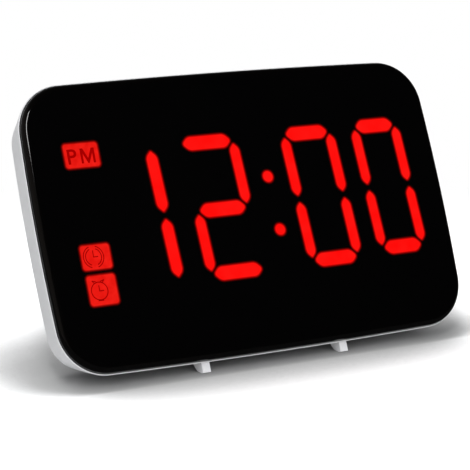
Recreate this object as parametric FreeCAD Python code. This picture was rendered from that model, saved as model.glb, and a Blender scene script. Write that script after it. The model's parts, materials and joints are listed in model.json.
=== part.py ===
import FreeCAD, Part
import math
import os
from FreeCAD import Vector

# Large-digit LED alarm clock that leans back on a fold-out wire-shaped stand (a "bail").
#
# Every piece is drawn in the casing's own frame, in millimetres: x to the right, y straight back
# from the flat face of the lens, z up along that face, with zero at the middle of the face.
# stand_up() then leans the whole clock back and sets it on the table: Z = 0 is the table, and the
# origin is under the middle of the clock's overall box.

# ---- casing outline ------------------------------------------------------------------------
case_width = 150.0
case_height = 92.6
corner_radius = 15.7
side_bulge = 1.5  # how far the left and right edges bow out
top_bulge = 1.0  # how far the top and bottom edges bow out
lean_back = 22.75  # degrees from upright, on the open stand

# ---- front lens ----------------------------------------------------------------------------
lens_thickness = 2.0
lens_rim_depth = 3.0
lens_skirt_width = 2.2
lens_edge_radius = 1.9
lens_fit_gap = 0.1

# ---- rear shell ----------------------------------------------------------------------------
lip_width = 0.4  # bright rim of the shell, seen all round the lens
lip_height = 0.4  # how far the rim stands ahead of the lens's seat
lip_land = 0.4  # straight stretch of the rim behind the seat
side_wall = 2.2
back_wall = 2.0
side_draft = 15.0  # degrees that the sides lean in towards the back
back_round = 8.0
inner_bevel = 4.0  # between the walls and the back, on the inside
wall_root = 0.5  # how far inside features run into the back wall

# ---- feet moulded under the shell's front edge ------------------------------------------------
foot_spacing = 51.0
foot_width = 2.8
foot_length = 5.6
foot_setback = 4.0  # from the lens's face to the foot's front
foot_drop = 3.0  # below the casing's lowest line
foot_root = 1.1  # how far the foot reaches up into the wall
contact_flat = 0.15  # how deep the flats are where feet and stand meet the table

# ---- lit shapes of the display -----------------------------------------------------------------
digit_width = 17.4  # between the middle lines of the left and right segments
digit_height = 42.4  # between the middle lines of the top and bottom segments
digit_slant = 0.035  # how far a digit's top leans to the left, as a share of its height
upright_thickness = 4.0
level_thickness = 5.0
upright_gap = 0.5  # from an upright segment's tip to the corner where the middle lines meet
level_gap = 0.3  # the same for a level segment
digit_middles = (-40.3, -10.9, 26.4, 53.8)
digits_z = 1.8
dot_radius = 2.15
dots_x = 8.15
dot_rise = 8.8  # of each dot above or below dots_z
dots_z = 1.0
badge_corner = 1.2
pm_badge = (-56.1, 22.3, 12.2, 8.2)  # middle x, middle z, width, height
sound_badge = (-57.7, -9.65, 10.4, 8.2)
alarm_badge = (-57.5, -19.95, 10.1, 9.8)

# ---- display module ----------------------------------------------------------------------------
reflector_depth = 6.0
reflector_margin = 2.6  # round the outermost lit shapes
guide_depth = 3.0
guide_gap = 0.1
well_narrowing = 0.3  # share by which a light well narrows towards its LEDs
led_length = 1.6
led_width = 0.8
led_height = 0.7
led_spread = 0.4  # distance between the two LEDs of a segment, as a share of its length
badge_led_spread = 0.5
board_thickness = 1.6
board_corner = 2.0
display_board_half_width = 66.0
board_margin = 3.4  # from a display screw to the display board's top or bottom edge
fit_gap = 0.3

# ---- front frame -------------------------------------------------------------------------------
frame_thickness = 2.0
frame_gap = 0.2  # between the frame's ring and the lens's skirt
spigot_gap = 0.6  # between the frame's spigot and the shell
spigot_wall = 1.5
pad_radius = 4.5
post_radius = 3.0
post_length = 8.0

# ---- screws ------------------------------------------------------------------------------------
case_screw_x = 57.0
case_screw_room = 7.5  # from the top of the digits up to a case screw
case_screw_radius = 1.3
case_screw_length = 11.0
case_head_radius = 2.5
case_head_height = 1.6
case_ledge = 5.0  # material under the head of a case screw
small_screw_radius = 1.0
small_screw_length = 5.0
small_head_radius = 1.9
small_head_height = 1.3
display_screw_x = 44.0
boss_gap = 2.1  # between the reflector and the boss of a display screw
board_screw_x = 40.0
board_screw_top_z = 33.0
board_screw_low_z = -28.0
small_boss_radius = 2.5
screw_play = 0.15

# ---- battery bay -------------------------------------------------------------------------------
cell_radius = 5.25
cell_body_length = 43.5
cell_nub_radius = 1.9
cell_nub_length = 1.0
cell_gap = 0.5  # between one cell and the next
cell_count = 3
cell_play = 0.3
bay_play = 0.5  # above the top cell and below the low one
contact_room = 2.75  # from a cell's end to the bay's end wall
bay_to_groove = 0.25  # between the door's seat and the wall of the stand's groove
bay_wall = 2.0
bay_floor = 1.0
contact_thickness = 0.4
contact_size = 8.0
contact_gap = 0.15
leaf_width = 5.0
leaf_chord = 7.0
dimple_base_radius = 2.9
dimple_tip_radius = 1.5

# ---- battery door ------------------------------------------------------------------------------
door_thickness = 1.6
door_gap = 0.7  # between the cells and the door
door_ledge = 1.5
door_play = 0.25
tab_x = 15.0
tab_width = 6.0
tab_thickness = 1.0
tab_reach = 1.0
tab_neck = 1.6
tab_lift = 0.1  # gap between the tab's neck and the door's inner face line
tab_swing = 0.8  # how far the tab dips as the door tilts
pocket_roof = 0.4  # wall left between a tab's pocket and the door's seat
pocket_overlap = 0.5  # how far a pocket opens into the bay
latch_half_width = 6.0
latch_length = 9.0
latch_slit = 0.8

# ---- fold-out stand ----------------------------------------------------------------------------
stand_pivot_z = 10.0
stand_tip_rise = 8.3  # of the bar's round tip above the casing's lowest line
stand_to_bay = 1.0  # between the bay's walls and the wall of the stand's groove
stand_arm_width = 5.0
stand_thickness = 3.0
stand_bar_height = 4.0
stand_corner = 4.0
barrel_radius = 2.2
pin_radius = 1.0
pin_running_gap = 0.05
pin_seat_gap = 0.02
pin_length = 8.6
groove_play = 0.4
groove_wall = 1.6

# ---- main board and what it carries ------------------------------------------------------------
main_board_half_width = 62.0
main_board_top_z = 36.0
main_board_low_z = -32.0
main_board_setback = 7.6  # from the casing's back to the board's rear face
notch_play = 0.5
chip_size = 10.0
chip_height = 1.6
chip_corner = 0.4
chip_z = 20.0
header_width = 20.4
header_height = 2.5
header_z = 29.0
header_pitch = 2.54
header_notches = 7
header_notch_width = 0.6
header_notch_depth = 0.4

# ---- controls, sounder and socket on the back --------------------------------------------------
button_x = -48.0
button_pitch = 12.0
button_names = ("set", "up", "down", "alarm", "light")
button_radius = 3.8
button_flange = 1.0
button_flange_height = 0.7
button_proud = 1.2
button_play = 0.25
button_travel = 0.5
button_edge = 0.6
button_rest_gap = 0.1  # left between button and switch at the end of its travel
tact_size = 6.0
tact_height = 3.4
tact_stem_radius = 1.7
tact_stem_height = 0.8
switch_x = 48.0
switch_z = 24.0
switch_body_width = 4.4
switch_body_length = 9.0
switch_body_height = 4.0
knob_width = 2.6
knob_length = 3.2
knob_flange = 0.8
knob_travel = 3.0
knob_proud = 1.2
knob_gap = 0.2  # round the knob's flange
sounder_x = 48.0
sounder_z = 0.0
sounder_radius = 6.0
sounder_height = 5.0
sounder_hole_radius = 1.0
microphone_z = 10.5
microphone_radius = 3.0
microphone_height = 4.6
grille_length = 12.0
grille_slot = 1.2
grille_pitch = 3.6
grille_count = 5
socket_x = 48.0
socket_z = -22.0
socket_width = 7.8
socket_height = 3.0
socket_wall = 0.4
socket_corner = 0.8
socket_depth = 5.0
tongue_thickness = 0.6
tongue_setback = 0.6

# ---- how cuts are made ---------------------------------------------------------------------------
overcut = 1.0  # how far a cutting shape runs past what it cuts
same_place = 1e-4

# ---- values that follow from the ones above ----------------------------------------------------
half_width = case_width / 2
half_height = case_height / 2
digit_reach = (digit_height + level_thickness) / 2
digit_side = (digit_width + upright_thickness) / 2 + digit_slant * digit_reach
badge_boxes = (pm_badge, sound_badge, alarm_badge)
lit_top = max([digits_z + digit_reach] + [z + height / 2 for _, z, _, height in badge_boxes])
lit_low = min([digits_z - digit_reach] + [z - height / 2 for _, z, _, height in badge_boxes])
case_screw_z = digits_z + digit_reach + case_screw_room
reflector_left = min(x - width / 2 for x, _, width, _ in badge_boxes) - reflector_margin
reflector_right = digit_middles[-1] + digit_side + reflector_margin
reflector_low = lit_low - reflector_margin
reflector_top = lit_top + reflector_margin
display_screw_z = reflector_top + boss_gap + small_boss_radius
display_board_half_height = display_screw_z + board_margin
lens_inset = lip_width + lens_fit_gap
seat_y = lens_rim_depth
lip_front_y = seat_y - lip_height
land_back_y = seat_y + lip_land
reflector_front = lens_thickness
display_board_front = reflector_front + reflector_depth
display_board_back = display_board_front + board_thickness
bay_outer_y = display_board_back + fit_gap
bay_inner_y = bay_outer_y + bay_floor
cell_y = bay_inner_y + cell_play + cell_radius
door_inner_y = cell_y + cell_radius + door_gap
case_depth = door_inner_y + door_thickness
inner_back_y = case_depth - back_wall
draft_slope = math.tan(math.radians(side_draft))
frame_back = reflector_front + frame_thickness
post_end_y = frame_back + post_length
wall_inset = side_wall + (frame_back - seat_y) * draft_slope
frame_inset = max(lens_inset + lens_skirt_width, wall_inset) + frame_gap
spigot_inset = side_wall + (display_board_front - seat_y) * draft_slope + spigot_gap
cell_pitch = 2 * cell_radius + cell_gap
bay_half_length = (cell_body_length + cell_nub_length) / 2 + contact_room
bay_half_height = cell_count * cell_pitch / 2 + bay_play
stand_tip_radius = stand_thickness / 2
stand_tip_z = -half_height + stand_tip_rise
stand_bar_top = stand_tip_z - stand_tip_radius + stand_bar_height
bay_low_z = stand_bar_top + groove_play + groove_wall + bay_to_groove + door_play + door_ledge
bay_centre_z = bay_low_z + bay_half_height
bay_top_z = bay_centre_z + bay_half_height
stand_half_width = (bay_half_length + bay_wall + stand_to_bay + groove_wall + groove_play
                    + stand_arm_width)
door_half_width = bay_half_length + door_ledge
door_top_z = bay_top_z
door_low_z = bay_low_z - door_ledge
main_board_back = case_depth - main_board_setback
main_board_front = main_board_back - board_thickness
stand_pivot_y = case_depth - barrel_radius
stand_front_y = case_depth - stand_thickness
button_back_y = case_depth + button_proud
tact_top_y = main_board_back + tact_height + tact_stem_height
button_front_y = tact_top_y + button_travel + button_rest_gap
knob_front_y = main_board_back + switch_body_height + knob_gap


# ---- drawing helpers ---------------------------------------------------------------------------
def block(x0, x1, y0, y1, z0, z1):
    """A box between two corners."""
    return Part.makeBox(x1 - x0, y1 - y0, z1 - z0, Vector(x0, y0, z0))


def rod(x, z, radius, y0, y1):
    """A cylinder that runs front to back."""
    return Part.makeCylinder(radius, y1 - y0, Vector(x, y0, z), Vector(0, 1, 0))


def cross_rod(y, z, radius, x0, x1):
    """A cylinder that runs left to right."""
    return Part.makeCylinder(radius, x1 - x0, Vector(x0, y, z), Vector(1, 0, 0))


def rounded_slab(x, z, width, height, corner, y0, y1):
    """A plate facing front, with its four corners rounded."""
    plate = block(x - width / 2, x + width / 2, y0, y1, z - height / 2, z + height / 2)
    return plate.makeFillet(corner, deep_edges(plate))


def slab(points, y0, y1):
    """A plate facing front, with the outline through points (x, z)."""
    corners = [Vector(x, y0, z) for x, z in points]
    face = Part.Face(Part.makePolygon(corners + corners[:1]))
    return face.extrude(Vector(0, y1 - y0, 0))


def joined(pieces):
    """The pieces fused into one solid, with leftover seams cleaned up."""
    whole = pieces[0].fuse(pieces[1:]).removeSplitter()
    return whole.Solids[0] if len(whole.Solids) == 1 else whole


def group(pieces):
    """Separate solids kept together as one node."""
    return Part.makeCompound(pieces)


def slot(x, z, width, height, y0, y1):
    """A plate facing front, with round left and right ends."""
    reach = (width - height) / 2
    bar = block(x - reach, x + reach, y0, y1, z - height / 2, z + height / 2)
    return joined([bar] + [rod(x + s * reach, z, height / 2, y0, y1) for s in (-1, 1)])


def deep_edges(shape):
    """The straight edges of shape that run front to back."""
    return [e for e in shape.Edges if abs(abs(e.tangentAt(e.FirstParameter).y) - 1) < same_place]


def rim_edges(shape, y):
    """The edges of shape that lie in the plane at depth y."""
    return [e for e in shape.Edges if abs(e.BoundBox.YMin - y) + abs(e.BoundBox.YMax - y) < same_place]


# ---- casing outline ----------------------------------------------------------------------------
def bow_radius(half_chord, rise):
    """Radius of a shallow arc that rises so much over half its chord."""
    return (half_chord**2 + rise**2) / (2 * rise)


def corner_centre(top_radius, side_radius):
    """Middle of the corner arc that is tangent to the top arc and the side arc."""
    top_z = half_height - top_radius
    side_x = half_width - side_radius
    to_top = top_radius - corner_radius
    to_side = side_radius - corner_radius
    apart = math.hypot(side_x, top_z)
    along = (to_top**2 - to_side**2 + apart**2) / (2 * apart)
    across = math.sqrt(to_top**2 - along**2)
    unit_x, unit_z = side_x / apart, -top_z / apart
    return unit_x * along + unit_z * across, top_z + unit_z * along - unit_x * across


def outline(inset, y):
    """The casing's outline at depth y, moved in by inset: four bowed sides and four round corners."""
    top_radius = bow_radius(half_width, top_bulge)
    side_radius = bow_radius(half_height, side_bulge)
    corner_x, corner_z = corner_centre(top_radius, side_radius)
    top_z = half_height - top_radius
    side_x = half_width - side_radius
    top_share = (top_radius - inset) / (top_radius - corner_radius)
    side_share = (side_radius - inset) / (side_radius - corner_radius)
    on_top = (corner_x * top_share, top_z + (corner_z - top_z) * top_share)
    on_side = (side_x + (corner_x - side_x) * side_share, corner_z * side_share)
    turn = (math.atan2(on_top[1] - corner_z, on_top[0] - corner_x)
            + math.atan2(on_side[1] - corner_z, on_side[0] - corner_x)) / 2
    radius = corner_radius - inset
    on_corner = (corner_x + radius * math.cos(turn), corner_z + radius * math.sin(turn))

    def arc(a, b, c):
        return Part.Arc(*(Vector(x, y, z) for x, z in (a, b, c))).toShape()

    def mirrored(point, sx, sz):
        return point[0] * sx, point[1] * sz

    edges = []
    for sx, sz in ((1, 1), (-1, 1), (-1, -1), (1, -1)):
        ends = [mirrored(p, sx, sz) for p in (on_side, on_corner, on_top)]
        if sx * sz < 0:
            ends.reverse()
        edges.append(arc(*ends))
        if sx * sz > 0:
            middle = (0, sz * (half_height - inset))
            edges.append(arc(ends[-1], middle, mirrored(on_top, -sx, sz)))
        else:
            middle = (sx * (half_width - inset), 0)
            edges.append(arc(ends[-1], middle, mirrored(on_side, sx, -sz)))
    return Part.Wire(edges)


def plate(inset, y0, y1):
    """A flat plate with the casing's outline."""
    return Part.Face(outline(inset, y0)).extrude(Vector(0, y1 - y0, 0))


def tapered(inset, y0, y1):
    """A solid with the casing's outline whose sides lean in towards the back."""
    end_inset = inset + (y1 - y0) * draft_slope
    return Part.makeLoft([outline(inset, y0), outline(end_inset, y1)], True, True)


def outer_form():
    """The rear shell's outside as a solid."""
    rim = plate(0, lip_front_y, land_back_y)
    body = tapered(0, land_back_y, case_depth)
    return joined([rim, body.makeFillet(back_round, rim_edges(body, case_depth))])


def inner_form():
    """The hollow inside the rear shell, before anything is built into it."""
    hollow = tapered(side_wall, seat_y, inner_back_y)
    return hollow.makeChamfer(inner_bevel, rim_edges(hollow, inner_back_y))


# ---- table ---------------------------------------------------------------------------------------
def foot_curve():
    """Radius of the foot's underside and the (y, z) of its middle."""
    bottom = -half_height - foot_drop
    shell_rise = (foot_setback + foot_length - land_back_y) * draft_slope
    rise = -half_height + shell_rise - bottom
    radius = (foot_length**2 + rise**2) / (2 * rise)
    return radius, foot_setback, bottom + radius


def world_height(y, z):
    """Height of a casing point, before the clock is set on the table."""
    lean = math.radians(lean_back)
    return z * math.cos(lean) - y * math.sin(lean)


def table_height():
    """Height of the table in the same measure, a contact flat above the feet's lowest line."""
    radius, y, z = foot_curve()
    return world_height(y, z) - radius + contact_flat


def table():
    """A large block whose top is the table, in the casing's frame."""
    reach = 2 * case_width
    slab_block = Part.makeBox(2 * reach, 2 * reach, reach, Vector(-reach, -reach, table_height() - reach))
    slab_block.rotate(Vector(0, 0, 0), Vector(1, 0, 0), lean_back)
    return slab_block


def stand_angle():
    """Degrees that the stand opens, so that its bar meets the table."""
    lowest = table_height() - contact_flat + stand_tip_radius
    fall = world_height(stand_pivot_y, stand_pivot_z) - lowest
    tip_back = stand_front_y + stand_tip_radius - stand_pivot_y
    tip_down = stand_pivot_z - stand_tip_z
    leg = math.hypot(tip_back, tip_down)
    return lean_back + math.degrees(math.acos(fall / leg) - math.atan2(tip_back, tip_down))


# ---- lens and frame ------------------------------------------------------------------------------
def front_lens():
    """Glossy cover with a rounded front edge and a short skirt that sits in the shell."""
    cover = plate(lens_inset, 0, lens_rim_depth)
    cover = cover.makeFillet(lens_edge_radius, rim_edges(cover, 0))
    return cover.cut(plate(lens_inset + lens_skirt_width, lens_thickness, lens_rim_depth + overcut))


def mirrored_spots(x, z):
    """Four places mirrored about the middle."""
    return [(sx * x, sz * z) for sx in (-1, 1) for sz in (-1, 1)]


def front_frame():
    """Ring behind the lens: the lens is glued to it, and it carries the boards and the case screws."""
    back = frame_back
    ring = plate(frame_inset, reflector_front, back)
    ring = ring.cut(block(reflector_left - fit_gap, reflector_right + fit_gap, reflector_front - overcut,
                          back + overcut, reflector_low - fit_gap, reflector_top + fit_gap))
    spigot = plate(spigot_inset, back, display_board_front)
    spigot = spigot.cut(plate(spigot_inset + spigot_wall, back, display_board_front))
    solids = [ring, spigot]
    for x, z in mirrored_spots(case_screw_x, case_screw_z):
        solids.append(rod(x, z, pad_radius, reflector_front, back))
        solids.append(rod(x, z, post_radius, back, post_end_y))
    for x, z in mirrored_spots(display_screw_x, display_screw_z):
        solids.append(rod(x, z, small_boss_radius, back, display_board_front))
    frame = joined(solids)
    for x, z in mirrored_spots(case_screw_x, case_screw_z):
        frame = frame.cut(rod(x, z, case_screw_radius + screw_play, back, post_end_y + overcut))
    for x, z in mirrored_spots(display_screw_x, display_screw_z):
        frame = frame.cut(rod(x, z, small_screw_radius + screw_play, back, display_board_front + overcut))
    return frame


# ---- lit shapes ----------------------------------------------------------------------------------
# The PM badge takes the place of the first digit's upper left segment.
DIGITS = {
    "digit_hours_tens": (digit_middles[0], "abcdeg"),
    "digit_hours_units": (digit_middles[1], "abcdefg"),
    "digit_minutes_tens": (digit_middles[2], "abcdefg"),
    "digit_minutes_units": (digit_middles[3], "abcdefg"),
}
BADGES = {"badge_pm": pm_badge, "badge_sound": sound_badge, "badge_alarm": alarm_badge}


def slanted(places):
    """The places (x, z), leaned over about the digits' middle line."""
    return [(x - digit_slant * (z - digits_z), z) for x, z in places]


def segment_outline(x, z, length, thickness, upright):
    """Corners of a six-sided segment with pointed ends."""
    half, side = length / 2, thickness / 2
    points = [(-half, 0), (side - half, side), (half - side, side),
              (half, 0), (half - side, -side), (side - half, -side)]
    if upright:
        points = [(b, a) for a, b in points]
    return slanted([(x + a, z + b) for a, b in points])


def segment_places(digit_x, names):
    """Middle x, middle z, length, thickness and direction of the named segments of one digit."""
    side = digit_width / 2
    rise = digit_height / 2
    level = (digit_width - 2 * level_gap, level_thickness, False)
    upright = (rise - 2 * upright_gap, upright_thickness, True)
    places = {
        "a": (digit_x, digits_z + rise, *level),
        "b": (digit_x + side, digits_z + rise / 2, *upright),
        "c": (digit_x + side, digits_z - rise / 2, *upright),
        "d": (digit_x, digits_z - rise, *level),
        "e": (digit_x - side, digits_z - rise / 2, *upright),
        "f": (digit_x - side, digits_z + rise / 2, *upright),
        "g": (digit_x, digits_z, *level),
    }
    return [places[name] for name in names]


def dot_places():
    """Middle x and z of the two colon dots."""
    return slanted([(dots_x, dots_z + dot_rise), (dots_x, dots_z - dot_rise)])


def digit_guides(digit_x, names):
    """The red light guides of one digit."""
    back = reflector_front + guide_depth
    return group([slab(segment_outline(*place), reflector_front, back)
                  for place in segment_places(digit_x, names)])


def colon_guides():
    """The two round light guides between hours and minutes."""
    return group([rod(x, z, dot_radius, reflector_front, reflector_front + guide_depth)
                  for x, z in dot_places()])


def badge_guide(x, z, width, height):
    """The light guide of one badge."""
    return rounded_slab(x, z, width, height, badge_corner, reflector_front, reflector_front + guide_depth)


def segment_well(x, z, length, thickness, upright):
    """Light well of a segment: straight round the guide, then narrowing to the LEDs."""
    guide_back = reflector_front + guide_depth
    wide = thickness + 2 * guide_gap
    long = length + 2 * guide_gap * math.sqrt(2)
    straight = slab(segment_outline(x, z, long, wide, upright), reflector_front - overcut, guide_back)
    share = 1 - well_narrowing
    wires = []
    for scale, y in ((1, guide_back), (share, display_board_front)):
        points = segment_outline(x, z, long * scale, wide * scale, upright)
        corners = [Vector(a, y, b) for a, b in points]
        wires.append(Part.makePolygon(corners + corners[:1]))
    return straight.fuse(Part.makeLoft(wires, True, True))


def display_reflector():
    """White block with a light well for every segment, dot and badge."""
    body = block(reflector_left, reflector_right, reflector_front, display_board_front,
                 reflector_low, reflector_top)
    cuts = [rod(x, z, pad_radius + fit_gap, 0, case_depth)
            for x, z in mirrored_spots(case_screw_x, case_screw_z)]
    for digit_x, names in DIGITS.values():
        cuts += [segment_well(*place) for place in segment_places(digit_x, names)]
    for x, z in dot_places():
        cuts.append(rod(x, z, dot_radius + guide_gap,
                        reflector_front - overcut, display_board_front + overcut))
    for x, z, width, height in BADGES.values():
        wide, high = width + 2 * guide_gap, height + 2 * guide_gap
        cuts.append(rounded_slab(x, z, wide, high, badge_corner + guide_gap,
                                 reflector_front - overcut, display_board_front + overcut))
    return body.cut(cuts)


def led_places():
    """Middle x and z of every LED: two to a segment and a badge, one to a dot."""
    places = list(dot_places())
    for digit_x, names in DIGITS.values():
        for x, z, length, _, upright in segment_places(digit_x, names):
            step = length * led_spread / 2
            places += slanted([(x, z + s * step) if upright else (x + s * step, z) for s in (-1, 1)])
    for x, z, width, _ in BADGES.values():
        places += [(x + s * width * badge_led_spread / 2, z) for s in (-1, 1)]
    return places


def display_leds():
    """The LEDs on the display board's front."""
    return group([block(x - led_length / 2, x + led_length / 2, display_board_front - led_height,
                        display_board_front, z - led_width / 2, z + led_width / 2)
                  for x, z in led_places()])


def corner_notch(side_x, side_z):
    """Cut that takes one corner of a board away round a case screw's post and boss."""
    x0, x1 = sorted((side_x * (case_screw_x - pad_radius - notch_play), side_x * half_width))
    z0, z1 = sorted((side_z * (case_screw_z - pad_radius - notch_play), side_z * half_height))
    notch = block(x0, x1, 0, case_depth, z0, z1)
    inner = [e for e in deep_edges(notch)
             if abs(e.CenterOfMass.x) < case_screw_x and abs(e.CenterOfMass.z) < case_screw_z]
    return notch.makeFillet(pad_radius, inner)


def display_board():
    """Board behind the reflector, held on the front frame's bosses."""
    board = rounded_slab(0, 0, 2 * display_board_half_width, 2 * display_board_half_height, board_corner,
                         display_board_front, display_board_back)
    cuts = [corner_notch(sx, sz) for sx, sz in mirrored_spots(1, 1)]
    cuts += [rod(x, z, small_screw_radius + screw_play, 0, case_depth)
             for x, z in mirrored_spots(display_screw_x, display_screw_z)]
    return board.cut(cuts)


# ---- screws ----------------------------------------------------------------------------------------
def screw(x, z, head_y, radius, length, head_radius, head_height, forward):
    """A screw whose head bears at head_y: forward is -1 when it points to the lens."""
    start, end = sorted((head_y, head_y + forward * length))
    shank = rod(x, z, radius, start, end)
    start, end = sorted((head_y, head_y - forward * head_height))
    return joined([shank, rod(x, z, head_radius, start, end)])


def case_screws():
    """Four long screws from the back, through the shell's bosses into the frame's posts."""
    return group([screw(x, z, post_end_y + case_ledge, case_screw_radius, case_screw_length,
                        case_head_radius, case_head_height, -1)
                  for x, z in mirrored_spots(case_screw_x, case_screw_z)])


def display_screws():
    """Four screws that hold the display board to the front frame."""
    return group([screw(x, z, display_board_back, small_screw_radius, small_screw_length,
                        small_head_radius, small_head_height, -1)
                  for x, z in mirrored_spots(display_screw_x, display_screw_z)])


def board_spots():
    """Where the main board is screwed to the rear shell."""
    return [(sx * board_screw_x, z) for sx in (-1, 1) for z in (board_screw_top_z, board_screw_low_z)]


def board_screws():
    """Four screws that hold the main board to the rear shell's bosses."""
    return group([screw(x, z, main_board_front, small_screw_radius, small_screw_length,
                        small_head_radius, small_head_height, 1)
                  for x, z in board_spots()])


# ---- rear shell ------------------------------------------------------------------------------------
def stand_frame(play):
    """U shape of the stand, seen from behind and grown by play, with its open end up."""
    half = stand_half_width + play
    inner = stand_half_width - stand_arm_width - play
    low = stand_tip_z - stand_tip_radius - play
    bar_top = stand_bar_top + play
    y0, y1 = stand_front_y - play, case_depth
    outer = rounded_slab(0, (low + stand_pivot_z) / 2, 2 * half, stand_pivot_z - low,
                         stand_corner + play, y0, y1)
    square_top = block(-half, half, y0, y1, stand_pivot_z - 2 * stand_corner, stand_pivot_z)
    opening = block(-inner, inner, y0 - overcut, y1 + overcut, bar_top, stand_pivot_z + overcut)
    return joined([outer, square_top]).cut(opening)


def hinge_spans(play):
    """The x limits of the left and right arm, grown by play."""
    inner = stand_half_width - stand_arm_width - play
    outer = stand_half_width + play
    return [(-outer, -inner), (inner, outer)]


def hinge_pocket(x0, x1, grow):
    """Room for one hinge barrel."""
    reach = barrel_radius + groove_play + grow
    return block(x0, x1, stand_pivot_y - reach, case_depth + overcut,
                 stand_pivot_z - reach, stand_pivot_z + reach)


def stand_groove():
    """What is cut from the back so that the stand folds in flush."""
    solids = [stand_frame(groove_play)]
    solids += [hinge_pocket(x0, x1, 0) for x0, x1 in hinge_spans(groove_play)]
    return joined(solids)


def groove_backing():
    """Material that carries the groove and the pins inside the shell."""
    grown = groove_play + groove_wall
    solids = [stand_frame(grown)]
    solids += [hinge_pocket(x0, x1, groove_wall) for x0, x1 in hinge_spans(grown)]
    return joined(solids)


def foot(x):
    """One small foot: flat in front and rounded underneath up to the shell."""
    radius, y, z = foot_curve()
    end_y = foot_setback + foot_length
    end_z = -half_height + (end_y - land_back_y) * draft_slope
    bottom = z - radius
    half_turn = math.asin(foot_length / radius) / 2
    middle = (y + radius * math.sin(half_turn), z - radius * math.cos(half_turn))
    x0 = x - foot_width / 2
    corners = [Vector(x0, a, b) for a, b in ((foot_setback, bottom), middle, (end_y, end_z),
                                             (end_y, end_z + foot_root),
                                             (foot_setback, -half_height + foot_root))]
    edges = [Part.Arc(*corners[:3]).toShape()]
    edges += [Part.makeLine(a, b) for a, b in zip(corners[2:], corners[3:] + corners[:1])]
    return Part.Face(Part.Wire(edges)).extrude(Vector(foot_width, 0, 0))


def button_spots():
    """Name and z of each push button, from the top down."""
    middle = (len(button_names) - 1) / 2
    return [(name, (middle - i) * button_pitch) for i, name in enumerate(button_names)]


def grille_slots():
    """Rows of slots in front of the sounder and the microphone."""
    centre = (sounder_z + microphone_z) / 2
    rows = [centre + (i - (grille_count - 1) / 2) * grille_pitch for i in range(grille_count)]
    return [slot(sounder_x, z, grille_length, grille_slot, inner_back_y - overcut, case_depth + overcut)
            for z in rows]


def back_openings():
    """Holes in the back for the buttons, the sound switch, the grille and the socket."""
    y0, y1 = inner_back_y - overcut, case_depth + overcut
    holes = [rod(button_x, z, button_radius + button_play, y0, y1) for _, z in button_spots()]
    slot_length = knob_length + knob_travel + 2 * fit_gap
    slot_z = switch_z - knob_travel / 2
    holes.append(rounded_slab(switch_x, slot_z, knob_width + 2 * fit_gap, slot_length, fit_gap, y0, y1))
    holes.append(rounded_slab(socket_x, socket_z, socket_width + 2 * fit_gap, socket_height + 2 * fit_gap,
                              socket_corner + fit_gap, y0, y1))
    return holes + grille_slots()


def tab_pockets():
    """Slots under the bay's upper edge that take the door's tabs."""
    front = door_inner_y - (tab_neck + tab_thickness) / 2 - tab_swing
    return [block(s * tab_x - tab_width / 2 - door_play, s * tab_x + tab_width / 2 + door_play,
                  front, door_inner_y - pocket_roof, bay_top_z - pocket_overlap,
                  bay_top_z + tab_reach + fit_gap)
            for s in (-1, 1)]


def rear_shell():
    """White moulded shell with the feet, the battery bay, the stand's groove and the screw bosses."""
    outer = outer_form()
    solids = [outer.cut(inner_form())]
    solids.append(block(-bay_half_length - bay_wall, bay_half_length + bay_wall, bay_outer_y,
                        inner_back_y + wall_root, bay_low_z - bay_wall, bay_top_z + bay_wall))
    solids.append(groove_backing())
    for x, z in mirrored_spots(case_screw_x, case_screw_z):
        solids.append(rod(x, z, pad_radius, post_end_y, inner_back_y + wall_root))
    for x, z in board_spots():
        solids.append(rod(x, z, small_boss_radius, main_board_back, inner_back_y + wall_root))
    shell = joined([solids[0]] + [solid.common(outer) for solid in solids[1:]])
    feet = [foot(s * foot_spacing / 2) for s in (-1, 1)]
    shell = joined([shell] + feet)
    cuts = [plate(lip_width, lip_front_y - overcut, seat_y)]
    cuts.append(block(-bay_half_length, bay_half_length, bay_inner_y, case_depth + overcut,
                      bay_low_z, bay_top_z))
    cuts.append(block(-door_half_width - door_play, door_half_width + door_play, door_inner_y,
                      case_depth + overcut, door_low_z - door_play, door_top_z + door_play))
    cuts.append(stand_groove())
    cuts += tab_pockets()
    cuts += back_openings()
    for x, z in mirrored_spots(case_screw_x, case_screw_z):
        ledge_y = post_end_y + case_ledge
        cuts.append(rod(x, z, case_screw_radius + screw_play, post_end_y - overcut, ledge_y + overcut))
        cuts.append(rod(x, z, case_head_radius + fit_gap, ledge_y, case_depth + overcut))
    for x, z in board_spots():
        cuts.append(rod(x, z, small_screw_radius + screw_play, main_board_back - overcut,
                        main_board_back + small_screw_length))
    for x0, x1 in hinge_pin_spans():
        cuts.append(cross_rod(stand_pivot_y, stand_pivot_z, pin_radius + pin_seat_gap, x0, x1))
    cuts.append(table())
    return shell.cut(cuts)


# ---- stand -----------------------------------------------------------------------------------------
def hinge_pin_spans():
    """The x limits of the two hinge pins."""
    centre = stand_half_width - stand_arm_width / 2
    return [(s * centre - pin_length / 2, s * centre + pin_length / 2) for s in (-1, 1)]


def stand_pins():
    """Two steel pins that the stand turns on."""
    return group([cross_rod(stand_pivot_y, stand_pivot_z, pin_radius, x0, x1)
                  for x0, x1 in hinge_pin_spans()])


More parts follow.
